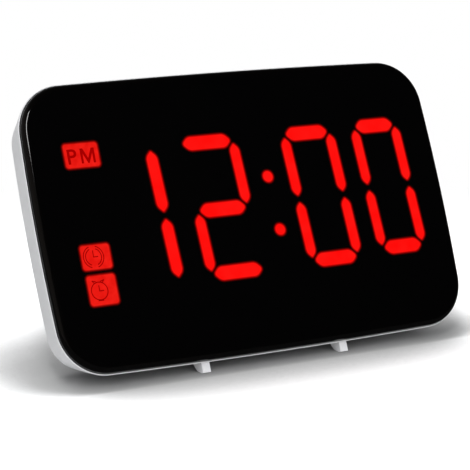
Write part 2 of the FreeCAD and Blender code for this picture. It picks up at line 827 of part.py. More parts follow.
def stand_bail():
    """U-shaped stand with hinge barrels, opened until its bar meets the table."""
    frame = stand_frame(0)
    x0, x1 = -stand_half_width - overcut, stand_half_width + overcut
    tip_y = stand_front_y + stand_tip_radius
    side = [Vector(x0, stand_front_y, stand_pivot_z), Vector(x0, stand_front_y, stand_tip_z),
            Vector(x0, tip_y, stand_tip_z - stand_tip_radius), Vector(x0, case_depth, stand_tip_z),
            Vector(x0, case_depth, stand_pivot_z)]
    edges = [Part.makeLine(side[0], side[1]), Part.Arc(*side[1:4]).toShape(),
             Part.makeLine(side[3], side[4]), Part.makeLine(side[4], side[0])]
    section = Part.Face(Part.Wire(edges)).extrude(Vector(x1 - x0, 0, 0))
    frame = frame.common(section)
    barrels = [cross_rod(stand_pivot_y, stand_pivot_z, barrel_radius, a, b) for a, b in hinge_spans(0)]
    bail = joined([frame] + barrels).common(outer_form())
    for a, b in hinge_spans(overcut):
        bail = bail.cut(cross_rod(stand_pivot_y, stand_pivot_z, pin_radius + pin_running_gap, a, b))
    bail.rotate(Vector(0, stand_pivot_y, stand_pivot_z), Vector(1, 0, 0), stand_angle())
    return bail.cut(table())


# ---- batteries -------------------------------------------------------------------------------------
def cell_spots():
    """Height of each cell and the side that its plus end is on, turned about from cell to cell."""
    first = bay_centre_z + (cell_count - 1) / 2 * cell_pitch
    return [(first - i * cell_pitch, 1 if i % 2 == 0 else -1) for i in range(cell_count)]


def cell(z, plus_side):
    """One AAA cell with its plus nub."""
    half = (cell_body_length + cell_nub_length) / 2
    body_start, body_end = sorted((-plus_side * half, -plus_side * half + plus_side * cell_body_length))
    body = cross_rod(cell_y, z, cell_radius, body_start, body_end)
    nub_start, nub_end = sorted((plus_side * half, plus_side * (half - cell_nub_length)))
    return joined([body, cross_rod(cell_y, z, cell_nub_radius, nub_start, nub_end)])


def contact_plate(z, side):
    """Flat plate on the bay's end wall."""
    x0, x1 = sorted((side * bay_half_length, side * (bay_half_length - contact_thickness)))
    return block(x0, x1, cell_y - contact_size / 2, cell_y + contact_size / 2,
                 z - contact_size / 2, z + contact_size / 2)


def contact_rise():
    """How far a contact stands off its plate to reach the cell."""
    half_cell = (cell_body_length + cell_nub_length) / 2
    return bay_half_length - contact_thickness - half_cell - contact_gap


def battery_contacts_plus():
    """Plates with a pressed dimple at each cell's plus end."""
    plates = []
    for z, side in cell_spots():
        base = Vector(side * (bay_half_length - contact_thickness), cell_y, z)
        dimple = Part.makeCone(dimple_base_radius, dimple_tip_radius, contact_rise(), base,
                               Vector(-side, 0, 0))
        plates.append(joined([contact_plate(z, side), dimple]))
    return group(plates)


def battery_contacts_minus():
    """Plates with a bowed leaf spring at each cell's flat end."""
    rise = contact_rise()
    radius = bow_radius(leaf_chord / 2, rise)
    leaves = []
    for z, plus_side in cell_spots():
        side = -plus_side
        plate_x = side * (bay_half_length - contact_thickness)
        centre = Vector(plate_x + side * (radius - rise), cell_y - leaf_width / 2, z)
        bow = Part.makeCylinder(radius, leaf_width, centre, Vector(0, 1, 0))
        bow = bow.cut(Part.makeCylinder(radius - contact_thickness, leaf_width, centre, Vector(0, 1, 0)))
        x0, x1 = sorted((plate_x, plate_x - side * (rise + overcut)))
        keep = block(x0, x1, 0, case_depth, z - leaf_chord, z + leaf_chord)
        leaves.append(joined([contact_plate(z, side), bow.common(keep)]))
    return group(leaves)


def battery_door():
    """Flush cover with two tabs on top and a springy latch tongue between two slits."""
    door = block(-door_half_width, door_half_width, door_inner_y, case_depth, door_low_z, door_top_z)
    tab_front = door_inner_y - (tab_neck + tab_thickness) / 2 - tab_lift
    solids = [door]
    for s in (-1, 1):
        x0, x1 = s * tab_x - tab_width / 2, s * tab_x + tab_width / 2
        solids.append(block(x0, x1, tab_front, door_inner_y, bay_top_z - tab_neck, bay_top_z))
        solids.append(block(x0, x1, tab_front, tab_front + tab_thickness, bay_top_z - tab_neck,
                            bay_top_z + tab_reach))
    door = joined(solids)
    for s in (-1, 1):
        x0 = s * latch_half_width - latch_slit / 2
        door = door.cut(block(x0, x0 + latch_slit, door_inner_y - overcut, case_depth + overcut,
                              door_low_z - overcut, door_low_z + latch_length))
    return door


# ---- main board ------------------------------------------------------------------------------------
def main_board():
    """Board round three sides of the battery bay, screwed to the rear shell."""
    height = main_board_top_z - main_board_low_z
    board = rounded_slab(0, main_board_low_z + height / 2, 2 * main_board_half_width, height, board_corner,
                         main_board_front, main_board_back)
    bay_side = bay_half_length + bay_wall + notch_play
    cuts = [block(-bay_side, bay_side, 0, case_depth, -half_height, bay_top_z + bay_wall + notch_play)]
    cuts += [corner_notch(sx, sz) for sx, sz in mirrored_spots(1, 1)]
    cuts += [rod(x, z, small_screw_radius + screw_play, 0, case_depth) for x, z in board_spots()]
    return board.cut(cuts)


def controller_chip():
    """Square chip on the main board's rear face."""
    return rounded_slab(0, chip_z, chip_size, chip_size, chip_corner,
                        main_board_back, main_board_back + chip_height)


def board_header():
    """Header strip that joins the two boards."""
    top_z = header_z + header_height / 2
    body = block(-header_width / 2, header_width / 2, display_board_back, main_board_front,
                 top_z - header_height, top_z)
    half_notch = header_notch_width / 2
    middles = [(i - (header_notches - 1) / 2) * header_pitch for i in range(header_notches)]
    return body.cut([block(x - half_notch, x + half_notch, 0, case_depth,
                           top_z - header_notch_depth, top_z + overcut) for x in middles])


def buzzer():
    """Round piezo sounder behind the grille."""
    can = rod(sounder_x, sounder_z, sounder_radius, main_board_back, main_board_back + sounder_height)
    return can.cut(rod(sounder_x, sounder_z, sounder_hole_radius, main_board_back + sounder_height / 2,
                       case_depth))


def microphone():
    """Small capsule that listens for sound through the grille."""
    return rod(sounder_x, microphone_z, microphone_radius,
               main_board_back, main_board_back + microphone_height)


def power_socket():
    """Low-voltage socket that opens to the back."""
    body = rounded_slab(socket_x, socket_z, socket_width, socket_height, socket_corner,
                        main_board_back, case_depth)
    hollow_width, hollow_height = socket_width - 2 * socket_wall, socket_height - 2 * socket_wall
    hollow = rounded_slab(socket_x, socket_z, hollow_width, hollow_height, socket_corner - socket_wall,
                          case_depth - socket_depth, case_depth + overcut)
    tongue = block(socket_x - socket_width / 4, socket_x + socket_width / 4, case_depth - socket_depth,
                   case_depth - tongue_setback, socket_z - tongue_thickness / 2,
                   socket_z + tongue_thickness / 2)
    return joined([body.cut(hollow), tongue])


def tact_switches():
    """One tact switch behind each push button."""
    switches = []
    top = main_board_back + tact_height
    for _, z in button_spots():
        body = block(button_x - tact_size / 2, button_x + tact_size / 2, main_board_back, top,
                     z - tact_size / 2, z + tact_size / 2)
        switches.append(joined([body, rod(button_x, z, tact_stem_radius, top, tact_top_y)]))
    return group(switches)


def push_button(z):
    """A round cap that stands a little proud of the back, with a flange inside."""
    cap = rod(button_x, z, button_radius, button_front_y, button_back_y)
    cap = cap.makeChamfer(button_edge, rim_edges(cap, button_back_y))
    flange = rod(button_x, z, button_radius + button_flange, button_front_y,
                 button_front_y + button_flange_height)
    return joined([cap, flange])


def sound_switch_body():
    """Body of the slide switch that turns sound control on and off."""
    z = switch_z - knob_travel / 2
    half_x, half_z = switch_body_width / 2, switch_body_length / 2
    return block(switch_x - half_x, switch_x + half_x, main_board_back, main_board_back + switch_body_height,
                 z - half_z, z + half_z)


def sound_switch_knob():
    """Knob of the slide switch, in its upper position."""
    knob = rounded_slab(switch_x, switch_z, knob_width, knob_length, fit_gap, knob_front_y,
                        case_depth + knob_proud)
    flange = rounded_slab(switch_x, switch_z, knob_width + 2 * knob_flange, knob_length + 2 * knob_flange,
                          fit_gap, knob_front_y, inner_back_y - knob_gap)
    return joined([knob, flange])


# ---- assembly --------------------------------------------------------------------------------------
def all_nodes():
    """Every node's shape in the casing's frame."""
    nodes = {
        "front_lens": front_lens(),
        "front_frame": front_frame(),
        "rear_shell": rear_shell(),
        "display_reflector": display_reflector(),
        "colon_dots": colon_guides(),
        "display_board": display_board(),
        "display_leds": display_leds(),
        "display_screws": display_screws(),
        "main_board": main_board(),
        "controller_chip": controller_chip(),
        "board_header": board_header(),
        "buzzer": buzzer(),
        "microphone": microphone(),
        "power_socket": power_socket(),
        "tact_switches": tact_switches(),
        "sound_switch_body": sound_switch_body(),
        "sound_switch_knob": sound_switch_knob(),
        "board_screws": board_screws(),
        "case_screws": case_screws(),
        "battery_door": battery_door(),
        "battery_contacts_plus": battery_contacts_plus(),
        "battery_contacts_minus": battery_contacts_minus(),
        "stand_bail": stand_bail(),
        "stand_pins": stand_pins(),
    }
    for name, (digit_x, segments) in DIGITS.items():
        nodes[name] = digit_guides(digit_x, segments)
    for name, place in BADGES.items():
        nodes[name] = badge_guide(*place)
    for name, z in button_spots():
        nodes["button_" + name] = push_button(z)
    for number, (z, plus_side) in enumerate(cell_spots(), 1):
        nodes["aaa_cell_" + str(number)] = cell(z, plus_side)
    return nodes


def stand_up(nodes):
    """Leans the clock back, sets it on the table and centres its overall box over the origin."""
    for shape in nodes.values():
        shape.rotate(Vector(0, 0, 0), Vector(1, 0, 0), -lean_back)
    boxes = [shape.optimalBoundingBox(False, False) for shape in nodes.values()]
    middle_y = (min(b.YMin for b in boxes) + max(b.YMax for b in boxes)) / 2
    shift = Vector(0, -middle_y, -table_height())
    for shape in nodes.values():
        shape.translate(shift)
    return shift


def main():
    os.makedirs("parts", exist_ok=True)
    nodes = all_nodes()
    stand_up(nodes)
    for name, shape in nodes.items():
        shape.exportStep(os.path.join("parts", name + ".step"))
        print(name, len(shape.Solids), "solids", shape.isValid())


if __name__ == "__main__":
    main()
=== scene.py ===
import json
import logging
import math
from collections.abc import Sequence
from dataclasses import dataclass, replace
from enum import Enum
from typing import ClassVar, Protocol

import bmesh
import bpy
from mathutils import Matrix, Vector


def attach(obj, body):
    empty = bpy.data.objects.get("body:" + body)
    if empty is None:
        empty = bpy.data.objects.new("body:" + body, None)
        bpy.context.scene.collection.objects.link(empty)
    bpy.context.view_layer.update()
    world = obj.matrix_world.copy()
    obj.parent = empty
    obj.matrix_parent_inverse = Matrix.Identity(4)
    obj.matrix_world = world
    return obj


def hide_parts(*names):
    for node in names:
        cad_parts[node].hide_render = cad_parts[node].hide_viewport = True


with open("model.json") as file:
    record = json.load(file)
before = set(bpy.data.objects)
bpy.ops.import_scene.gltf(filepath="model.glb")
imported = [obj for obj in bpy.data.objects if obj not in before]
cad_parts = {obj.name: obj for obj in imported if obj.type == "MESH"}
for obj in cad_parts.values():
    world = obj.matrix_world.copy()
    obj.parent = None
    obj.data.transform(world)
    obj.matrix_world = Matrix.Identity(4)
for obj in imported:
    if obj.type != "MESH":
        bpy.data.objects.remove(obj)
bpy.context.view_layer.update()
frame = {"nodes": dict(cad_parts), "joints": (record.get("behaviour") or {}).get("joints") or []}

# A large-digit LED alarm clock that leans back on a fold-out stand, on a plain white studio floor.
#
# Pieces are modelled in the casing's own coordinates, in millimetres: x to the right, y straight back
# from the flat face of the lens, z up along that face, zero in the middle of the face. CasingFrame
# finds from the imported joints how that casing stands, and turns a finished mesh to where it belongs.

LOG = logging.getLogger("clock")
Mesh = bmesh.types.BMesh
Socket = bpy.types.NodeSocket
Point = tuple[float, float]
Place = tuple[float, float, float]
Colour = tuple[float, float, float]

# How near two points are one: in a shape, along an outline, and in a copy of a CAD node.
WELD = 1e-4
RING_WELD = 0.01
NODE_WELD = 0.001
# Edges that turn more than the first are sharp; faces of a CAD node that turn less than the second are one.
SHARP_ANGLE = math.radians(32)
FLAT_ANGLE = math.radians(0.5)
# How strongly broad faces hold their flat shading against the small rounds beside them.
FLAT_WEIGHT = 90
# How far a cutting tool stands out of what it cuts.
OVERCUT = 1.0
# Where the middle of a small round lies, in from each of its two sides, as a share of its radius.
ROUND_MIDDLE = 0.3

MILLIMETRE = 0.001
CASE_DEPTH = 24.0
# The controls on the back stand in two columns, this far from the middle.
COLUMN_X = 48.0
SWITCH_Z = 22.5

# The lit shapes' own attribute, and the gloss of what the coated lens covers.
GLOW = "glow"
COATED_GLOSS = 0.18
PLASTIC_IOR = 1.49
WHITE: Colour = (1.0, 1.0, 1.0)
BLACK: Colour = (0.0, 0.0, 0.0)


# ---- where the casing stands --------------------------------------------------------------------
@dataclass(frozen=True)
class CasingFrame:
    """How the leaning casing stands in the row frame.

    The set button's joint gives it: the joint's axis is the casing's straight-ahead direction, and
    its place is a known point on the casing's back.
    """

    button_x: float = -COLUMN_X
    button_z: float = 24.0

    def _joint(self) -> dict:
        """The set button's joint."""
        return next(joint for joint in frame["joints"] if joint["name"] == "set_press")

    def lean(self) -> float:
        """The angle that the casing leans back, in radians."""
        ahead, up = self._joint()["axis"][1:]
        return math.atan2(up, -ahead)

    def matrix(self) -> Matrix:
        """Turns casing millimetres into metres of the row frame."""
        turned = Matrix.Rotation(-self.lean(), 4, "X") @ Matrix.Scale(MILLIMETRE, 4)
        known = turned @ Vector((self.button_x, CASE_DEPTH, self.button_z))
        return Matrix.Translation(Vector(self._joint()["pos_m"]) - known) @ turned

    def box(self, node: str) -> tuple[Vector, Vector]:
        """Lowest and highest corner of a CAD node in casing millimetres.

        Args:
            node: The CAD node's name.

        Returns:
            The two corners.
        """
        back = self.matrix().inverted()
        points = [back @ vertex.co for vertex in frame["nodes"][node].data.vertices]
        low = Vector([min(p[axis] for p in points) for axis in range(3)])
        high = Vector([max(p[axis] for p in points) for axis in range(3)])
        return low, high

    def spot(self, node: str) -> Point:
        """The x and z of the middle of a CAD node, in casing millimetres."""
        low, high = self.box(node)
        return (low.x + high.x) / 2, (low.z + high.z) / 2


CASING = CasingFrame()


# ---- the casing's outline -----------------------------------------------------------------------
@dataclass(frozen=True)
class Arc:
    """One arc of the outline, in the plane of the face."""

    x: float
    z: float
    radius: float
    start: float
    sweep: float
    steps: int

    def first(self, y: float) -> Place:
        """The arc's first point at depth y."""
        return self.x + self.radius * math.cos(self.start), y, self.z + self.radius * math.sin(self.start)


@dataclass(frozen=True)
class Outline:
    """The casing's outline: four bowed sides joined by four round corners, all tangent."""

    width: float
    height: float
    corner_radius: float = 15.7
    side_bulge: float = 1.5
    top_bulge: float = 1.0
    corner_steps: int = 16
    side_steps: int = 10

    def arcs(self, inset: float) -> list[Arc]:
        """The eight arcs of the outline, counterclockwise from the right side.

        Args:
            inset: How far the outline is moved in.

        Returns:
            The arcs, end to end.
        """
        half_x, half_z = self.width / 2, self.height / 2
        top_radius = (half_x**2 + self.top_bulge**2) / (2 * self.top_bulge)
        side_radius = (half_z**2 + self.side_bulge**2) / (2 * self.side_bulge)
        top_z, side_x = half_z - top_radius, half_x - side_radius
        to_top, to_side = top_radius - self.corner_radius, side_radius - self.corner_radius
        apart = math.hypot(side_x, top_z)
        along = (to_top**2 - to_side**2 + apart**2) / (2 * apart)
        across = math.sqrt(to_top**2 - along**2)
        unit_x, unit_z = side_x / apart, -top_z / apart
        corner_x = unit_x * along + unit_z * across
        corner_z = top_z + unit_z * along - unit_x * across
        turn_side = math.atan2(corner_z, corner_x - side_x)
        turn_top = math.atan2(corner_z - top_z, corner_x)
        side, top, corner = side_radius - inset, top_radius - inset, self.corner_radius - inset
        bend, half = turn_top - turn_side, math.pi
        few, many = self.side_steps, self.corner_steps
        return [
            Arc(side_x, 0, side, -turn_side, 2 * turn_side, few),
            Arc(corner_x, corner_z, corner, turn_side, bend, many),
            Arc(0, top_z, top, turn_top, half - 2 * turn_top, few),
            Arc(-corner_x, corner_z, corner, half - turn_top, bend, many),
            Arc(-side_x, 0, side, half - turn_side, 2 * turn_side, few),
            Arc(-corner_x, -corner_z, corner, half + turn_side, bend, many),
            Arc(0, -top_z, top, half + turn_top, half - 2 * turn_top, few),
            Arc(corner_x, -corner_z, corner, -turn_top, bend, many),
        ]

    def ring(self, mesh: Mesh, inset: float, y: float) -> list[bmesh.types.BMEdge]:
        """Adds the outline at one depth.

        Args:
            mesh: The mesh that gets the ring.
            inset: How far the outline is moved in.
            y: The ring's depth.

        Returns:
            The ring's edges.
        """
        known = set(mesh.verts)
        for arc in self.arcs(inset):
            start = mesh.verts.new(arc.first(y))
            bmesh.ops.spin(mesh, geom=[start], cent=(arc.x, y, arc.z), axis=(0, -1, 0),
                           angle=arc.sweep, steps=arc.steps)
        bmesh.ops.remove_doubles(mesh, verts=[v for v in mesh.verts if v not in known], dist=RING_WELD)
        return [edge for edge in mesh.edges if not known.issuperset(edge.verts)]

    def solid(self, profile: list[Point]) -> Mesh:
        """A closed solid whose rings follow a profile, with its first and last ring filled.

        Args:
            profile: The (inset, depth) of each ring, from one end to the other.

        Returns:
            The new mesh.
        """
        mesh = bmesh.new()
        rings = [self.ring(mesh, inset, y) for inset, y in profile]
        for near, far in zip(rings, rings[1:]):
            bmesh.ops.bridge_loops(mesh, edges=near + far)
        for end in (rings[0], rings[-1]):
            bmesh.ops.edgeloop_fill(mesh, edges=end)
        bmesh.ops.recalc_face_normals(mesh, faces=mesh.faces)
        return mesh


def quarter(centre: Point, radius: float, start: float, end: float, steps: int) -> list[Point]:
    """Points of a round in a profile.

    Args:
        centre: Middle of the round, as (inset, depth).
        radius: Its radius.
        start: First angle in degrees, 0 towards less inset and 90 towards more depth.
        end: Last angle in degrees.
        steps: How many pieces the round has.

    Returns:
        The points from start to end.
    """
    turns = [math.radians(start + (end - start) * i / steps) for i in range(steps + 1)]
    return [(centre[0] - radius * math.cos(turn), centre[1] + radius * math.sin(turn)) for turn in turns]


# ---- simple shapes ------------------------------------------------------------------------------
def round_edges(mesh: Mesh, edges: list[bmesh.types.BMEdge], radius: float, steps: int,
                clamped: bool = False) -> None:
    """Rounds off edges.

    Args:
        mesh: The mesh to change.
        edges: The edges to round.
        radius: How far the rounding reaches.
        steps: How many pieces it has.
        clamped: True to stop it where it would run into another.
    """
    bmesh.ops.bevel(mesh, geom=edges, offset=radius, offset_type="OFFSET", segments=steps, profile=0.5,
                    affect="EDGES", clamp_overlap=clamped, material=-1)


def round_corners(mesh: Mesh, corners: list[bmesh.types.BMVert], radius: float, steps: int) -> None:
    """Rounds off corners of a flat shape.

    Args:
        mesh: The mesh to change.
        corners: The corners to round.
        radius: How far the rounding reaches.
        steps: How many pieces it has.
    """
    bmesh.ops.bevel(mesh, geom=corners, offset=radius, segments=steps, profile=0.5, affect="VERTICES",
                    material=-1)


def soften(mesh: Mesh, width: float, steps: int = 2, depth: float | None = None) -> None:
    """Rounds off sharp edges a little.

    Args:
        mesh: The mesh to change.
        width: How far the rounding reaches.
        steps: How many pieces it has.
        depth: Where given, only edges that lie at this depth are rounded.
    """
    chosen = [e for e in mesh.edges if len(e.link_faces) == 2 and e.calc_face_angle(0) > SHARP_ANGLE]
    if depth is not None:
        chosen = [e for e in chosen if all(abs(v.co.y - depth) < NODE_WELD for v in e.verts)]
    round_edges(mesh, chosen, width, steps, clamped=True)


def thicken(mesh: Mesh, run: Place) -> None:
    """Makes flat faces a closed solid.

    Args:
        mesh: The mesh to change.
        run: How far and which way the solid reaches.
    """
    grown = bmesh.ops.extrude_face_region(mesh, geom=list(mesh.faces), use_keep_orig=True)["geom"]
    moved = [item for item in grown if isinstance(item, bmesh.types.BMVert)]
    bmesh.ops.translate(mesh, vec=run, verts=moved)
    bmesh.ops.recalc_face_normals(mesh, faces=mesh.faces)


def turn_to(way: Sequence[float]) -> Matrix:
    """The turn that takes straight up to a direction."""
    return Vector((0, 0, 1)).rotation_difference(Vector(way)).to_matrix().to_4x4()


def block(low: Place, high: Place) -> Mesh:
    """A box between two corners.

    Args:
        low: The lowest corner.
        high: The highest corner.

    Returns:
        The new mesh.
    """
    mesh = bmesh.new()
    middle = (Vector(low) + Vector(high)) / 2
    size = Vector(high) - Vector(low)
    bmesh.ops.create_cube(mesh, size=1, matrix=Matrix.Translation(middle) @ Matrix.Diagonal((*size, 1)))
    return mesh


def deep_edges(mesh: Mesh) -> list[bmesh.types.BMEdge]:
    """The edges that run from front to back."""
    return [edge for edge in mesh.edges if abs(edge.verts[0].co.y - edge.verts[1].co.y) > WELD]


def rod(start: Place, end: Place, radius: float, sides: int = 40) -> Mesh:
    """A cylinder.

    Args:
        start: Middle of one end.
        end: Middle of the other.
        radius: Its radius.
        sides: How many pieces go round it.

    Returns:
        The new mesh.
    """
    mesh = bmesh.new()
    run = Vector(end) - Vector(start)
    place = Matrix.Translation((Vector(start) + Vector(end)) / 2) @ turn_to(run)
    bmesh.ops.create_cone(mesh, cap_ends=True, segments=sides, radius1=radius, radius2=radius,
                          depth=run.length, matrix=place)
    return mesh


def turned(profile: list[Point], origin: Place, axis: Place, steps: int = 48) -> Mesh:
    """A turned shape.

    Args:
        profile: The (radius, distance along the axis) of its points, from one pole to the other.
        origin: The axis's start.
        axis: The axis's direction.
        steps: How many pieces go round it.

    Returns:
        The new mesh.
    """
    mesh = bmesh.new()
    verts = [mesh.verts.new((radius, 0, along)) for radius, along in profile]
    edges = [mesh.edges.new(pair) for pair in zip(verts, verts[1:])]
    bmesh.ops.spin(mesh, geom=verts + edges, cent=(0, 0, 0), axis=(0, 0, 1), angle=2 * math.pi,
                   steps=steps, use_merge=True)
    bmesh.ops.remove_doubles(mesh, verts=mesh.verts, dist=WELD)
    bmesh.ops.transform(mesh, matrix=Matrix.Translation(origin) @ turn_to(axis), verts=mesh.verts)
    bmesh.ops.recalc_face_normals(mesh, faces=mesh.faces)
    return mesh


def join(mesh: Mesh, part: Mesh) -> None:
    """Adds one shape to another.

    Args:
        mesh: The mesh that grows.
        part: The shape to add, which is used up.
    """
    data = bpy.data.meshes.new("part")
    part.to_mesh(data)
    part.free()
    mesh.from_mesh(data)
    bpy.data.meshes.remove(data)


@dataclass(frozen=True)
class Slot:
    """An opening in the back: its middle, its size, its corners' radius and their steps."""

    x: float
    z: float
    width: float
    height: float
    corner: float
    steps: int

    def tool(self, start: float, end: float) -> Mesh:
        """What cuts the opening.

        Args:
            start: The depth that the tool starts at.
            end: The depth that it ends at.

        Returns:
            The new mesh.
        """
        half_x, half_z = self.width / 2, self.height / 2
        mesh = block((self.x - half_x, start, self.z - half_z), (self.x + half_x, end, self.z + half_z))
        round_edges(mesh, deep_edges(mesh), self.corner, self.steps)
        return mesh


class Carve(Enum):
    """What a tool does to the solid that it meets."""

    ADD = "UNION"
    CUT = "DIFFERENCE"
    KEEP = "INTERSECT"


class Carving:
    """A solid that is worked on with other solids, through Boolean modifiers."""

    def __init__(self, blank: Mesh) -> None:
        """Starts from a closed solid, which is used up."""
        self.blank = self._bench(blank)
        self.tools: list[bpy.types.Object] = []

    @staticmethod
    def _bench(mesh: Mesh) -> bpy.types.Object:
        """Puts a solid on the bench.

        Args:
            mesh: The solid, which is used up.

        Returns:
            A passing object that holds it.
        """
        bmesh.ops.recalc_face_normals(mesh, faces=mesh.faces)
        data = bpy.data.meshes.new("bench")
        mesh.to_mesh(data)
        mesh.free()
        held = bpy.data.objects.new("bench", data)
        bpy.context.scene.collection.objects.link(held)
        return held

    def work(self, how: Carve, tool: Mesh) -> None:
        """Works the solid with a tool.

        Args:
            how: What the tool does to what it meets.
            tool: The tool, which is used up.
        """
        held = self._bench(tool)
        step = self.blank.modifiers.new("step", "BOOLEAN")
        step.operation = how.value
        step.solver = "EXACT"
        step.object = held
        self.tools.append(held)

    def done(self) -> Mesh:
        """Finishes the work and clears the bench.

        Returns:
            The finished solid.
        """
        bpy.context.view_layer.update()
        shaped = self.blank.evaluated_get(bpy.context.evaluated_depsgraph_get())
        data = bpy.data.meshes.new_from_object(shaped)
        mesh = bmesh.new()
        mesh.from_mesh(data)
        bpy.data.meshes.remove(data)
        for held in [self.blank, *self.tools]:
            passing = held.data
            bpy.data.objects.remove(held)
            bpy.data.meshes.remove(passing)
        bmesh.ops.remove_doubles(mesh, verts=mesh.verts, dist=WELD)
        return mesh


# ---- flat marks ---------------------------------------------------------------------------------
class Side(Enum):
    """Which way a mark faces: to the front of the casing or to its back."""

    FRONT = 1
    BACK = -1

    def plane(self, place: Place) -> Matrix:
        """Takes a drawing's right and up to the casing, as seen from that side.

        Args:
            place: Where the drawing's middle comes.

        Returns:
            The matrix.
        """
        right = Vector((self.value, 0, 0))
        up = Vector((0, 0, 1))
        turn = Matrix((right, up, right.cross(up))).transposed().to_4x4()
        return Matrix.Translation(place) @ turn


class Drawing:
    """A flat mark, drawn in its own right and up about its own middle."""

    LETTER_STEPS: ClassVar[int] = 6

    def __init__(self) -> None:
        """Starts with nothing drawn."""
        self.mesh = bmesh.new()

    def line(self, start: Point, end: Point, width: float) -> None:
        """Draws a straight stroke.

        Args:
            start: Where it starts; its square end reaches half its width further.
            end: Where it ends, likewise.
            width: The stroke's width.
        """
        run = Vector(end) - Vector(start)
        middle = (Vector(start) + Vector(end)) / 2
        place = (Matrix.Translation((*middle, 0)) @ Matrix.Rotation(math.atan2(run.y, run.x), 4, "Z")
                 @ Matrix.Diagonal((run.length + width, width, 1, 1)))
        bmesh.ops.create_grid(self.mesh, x_segments=1, y_segments=1, size=0.5, matrix=place)

    def arc(self, radius: float, width: float, start: float, sweep: float, steps: int = 24) -> None:
        """Draws a round stroke about the middle.

        Args:
            radius: Radius of the stroke's middle line.
            width: The stroke's width.
            start: First angle in degrees, counterclockwise from the right.
            sweep: How far it goes round, in degrees.
            steps: How many pieces it has.
        """
        turn = math.radians(start)
        ray = Vector((math.cos(turn), math.sin(turn), 0))
        ends = [self.mesh.verts.new(ray * (radius + side * width / 2)) for side in (-1, 1)]
        edge = self.mesh.edges.new(ends)
        bmesh.ops.spin(self.mesh, geom=ends + [edge], cent=(0, 0, 0), axis=(0, 0, 1),
                       angle=math.radians(sweep), steps=steps)

    def disc(self, radius: float, sides: int = 36) -> None:
        """Draws a filled round dot in the middle."""
        bmesh.ops.create_circle(self.mesh, cap_ends=True, segments=sides, radius=radius)

    def polygon(self, corners: Sequence[Point]) -> bmesh.types.BMFace:
        """Draws a filled shape and returns its face."""
        return self.mesh.faces.new([self.mesh.verts.new((*corner, 0)) for corner in corners])

    def letters(self, text: str, low: Point, high: Point, weight: float) -> None:
        """Draws letters that fill a rectangle.

        Args:
            text: The letters.
            low: The rectangle's lower left corner.
            high: Its upper right corner.
            weight: How much the strokes are thickened, as a share of the letters' size.
        """
        curve = bpy.data.curves.new("letters", "FONT")
        curve.body = text
        curve.offset = weight
        curve.resolution_u = self.LETTER_STEPS
        held = bpy.data.objects.new("letters", curve)
        bpy.context.scene.collection.objects.link(held)
        bpy.context.view_layer.update()
        data = bpy.data.meshes.new_from_object(held.evaluated_get(bpy.context.evaluated_depsgraph_get()))
        xs = [v.co.x for v in data.vertices]
        ys = [v.co.y for v in data.vertices]
        scale_x = (high[0] - low[0]) / (max(xs) - min(xs))
        scale_y = (high[1] - low[1]) / (max(ys) - min(ys))
        data.transform(Matrix.Translation((*low, 0)) @ Matrix.Diagonal((scale_x, scale_y, 1, 1))
                       @ Matrix.Translation((-min(xs), -min(ys), 0)))
        self.mesh.from_mesh(data)
        bpy.data.meshes.remove(data)
        bpy.data.objects.remove(held)
        bpy.data.curves.remove(curve)

    def hands(self, minute: float, hour: float, width: float) -> None:
        """Draws a clock's hands at three o'clock."""
        self.line((0, 0), (0, minute), width)
        self.line((0, 0), (hour, 0), width)

    def stand(self, side: Side, place: Place, raised: float = 0.0) -> Mesh:
        """Sets the finished drawing on the casing.

        Args:
            side: The side of the casing that it faces.
            place: Where its middle comes.
            raised: How thick it is, or 0 for a print.

        Returns:
            The mark in casing millimetres.
        """
        bmesh.ops.remove_doubles(self.mesh, verts=self.mesh.verts, dist=WELD)
        if raised:
            thicken(self.mesh, (0, 0, raised))
        else:
            for face in self.mesh.faces:
                if face.normal.z < 0:
                    face.normal_flip()
        bmesh.ops.transform(self.mesh, matrix=side.plane(place), verts=self.mesh.verts)
        return self.mesh


# ---- shader nodes -------------------------------------------------------------------------------
def rgba(colour: Sequence[float]) -> tuple[float, float, float, float]:
    """A colour with full alpha."""
    return (*colour, 1.0)


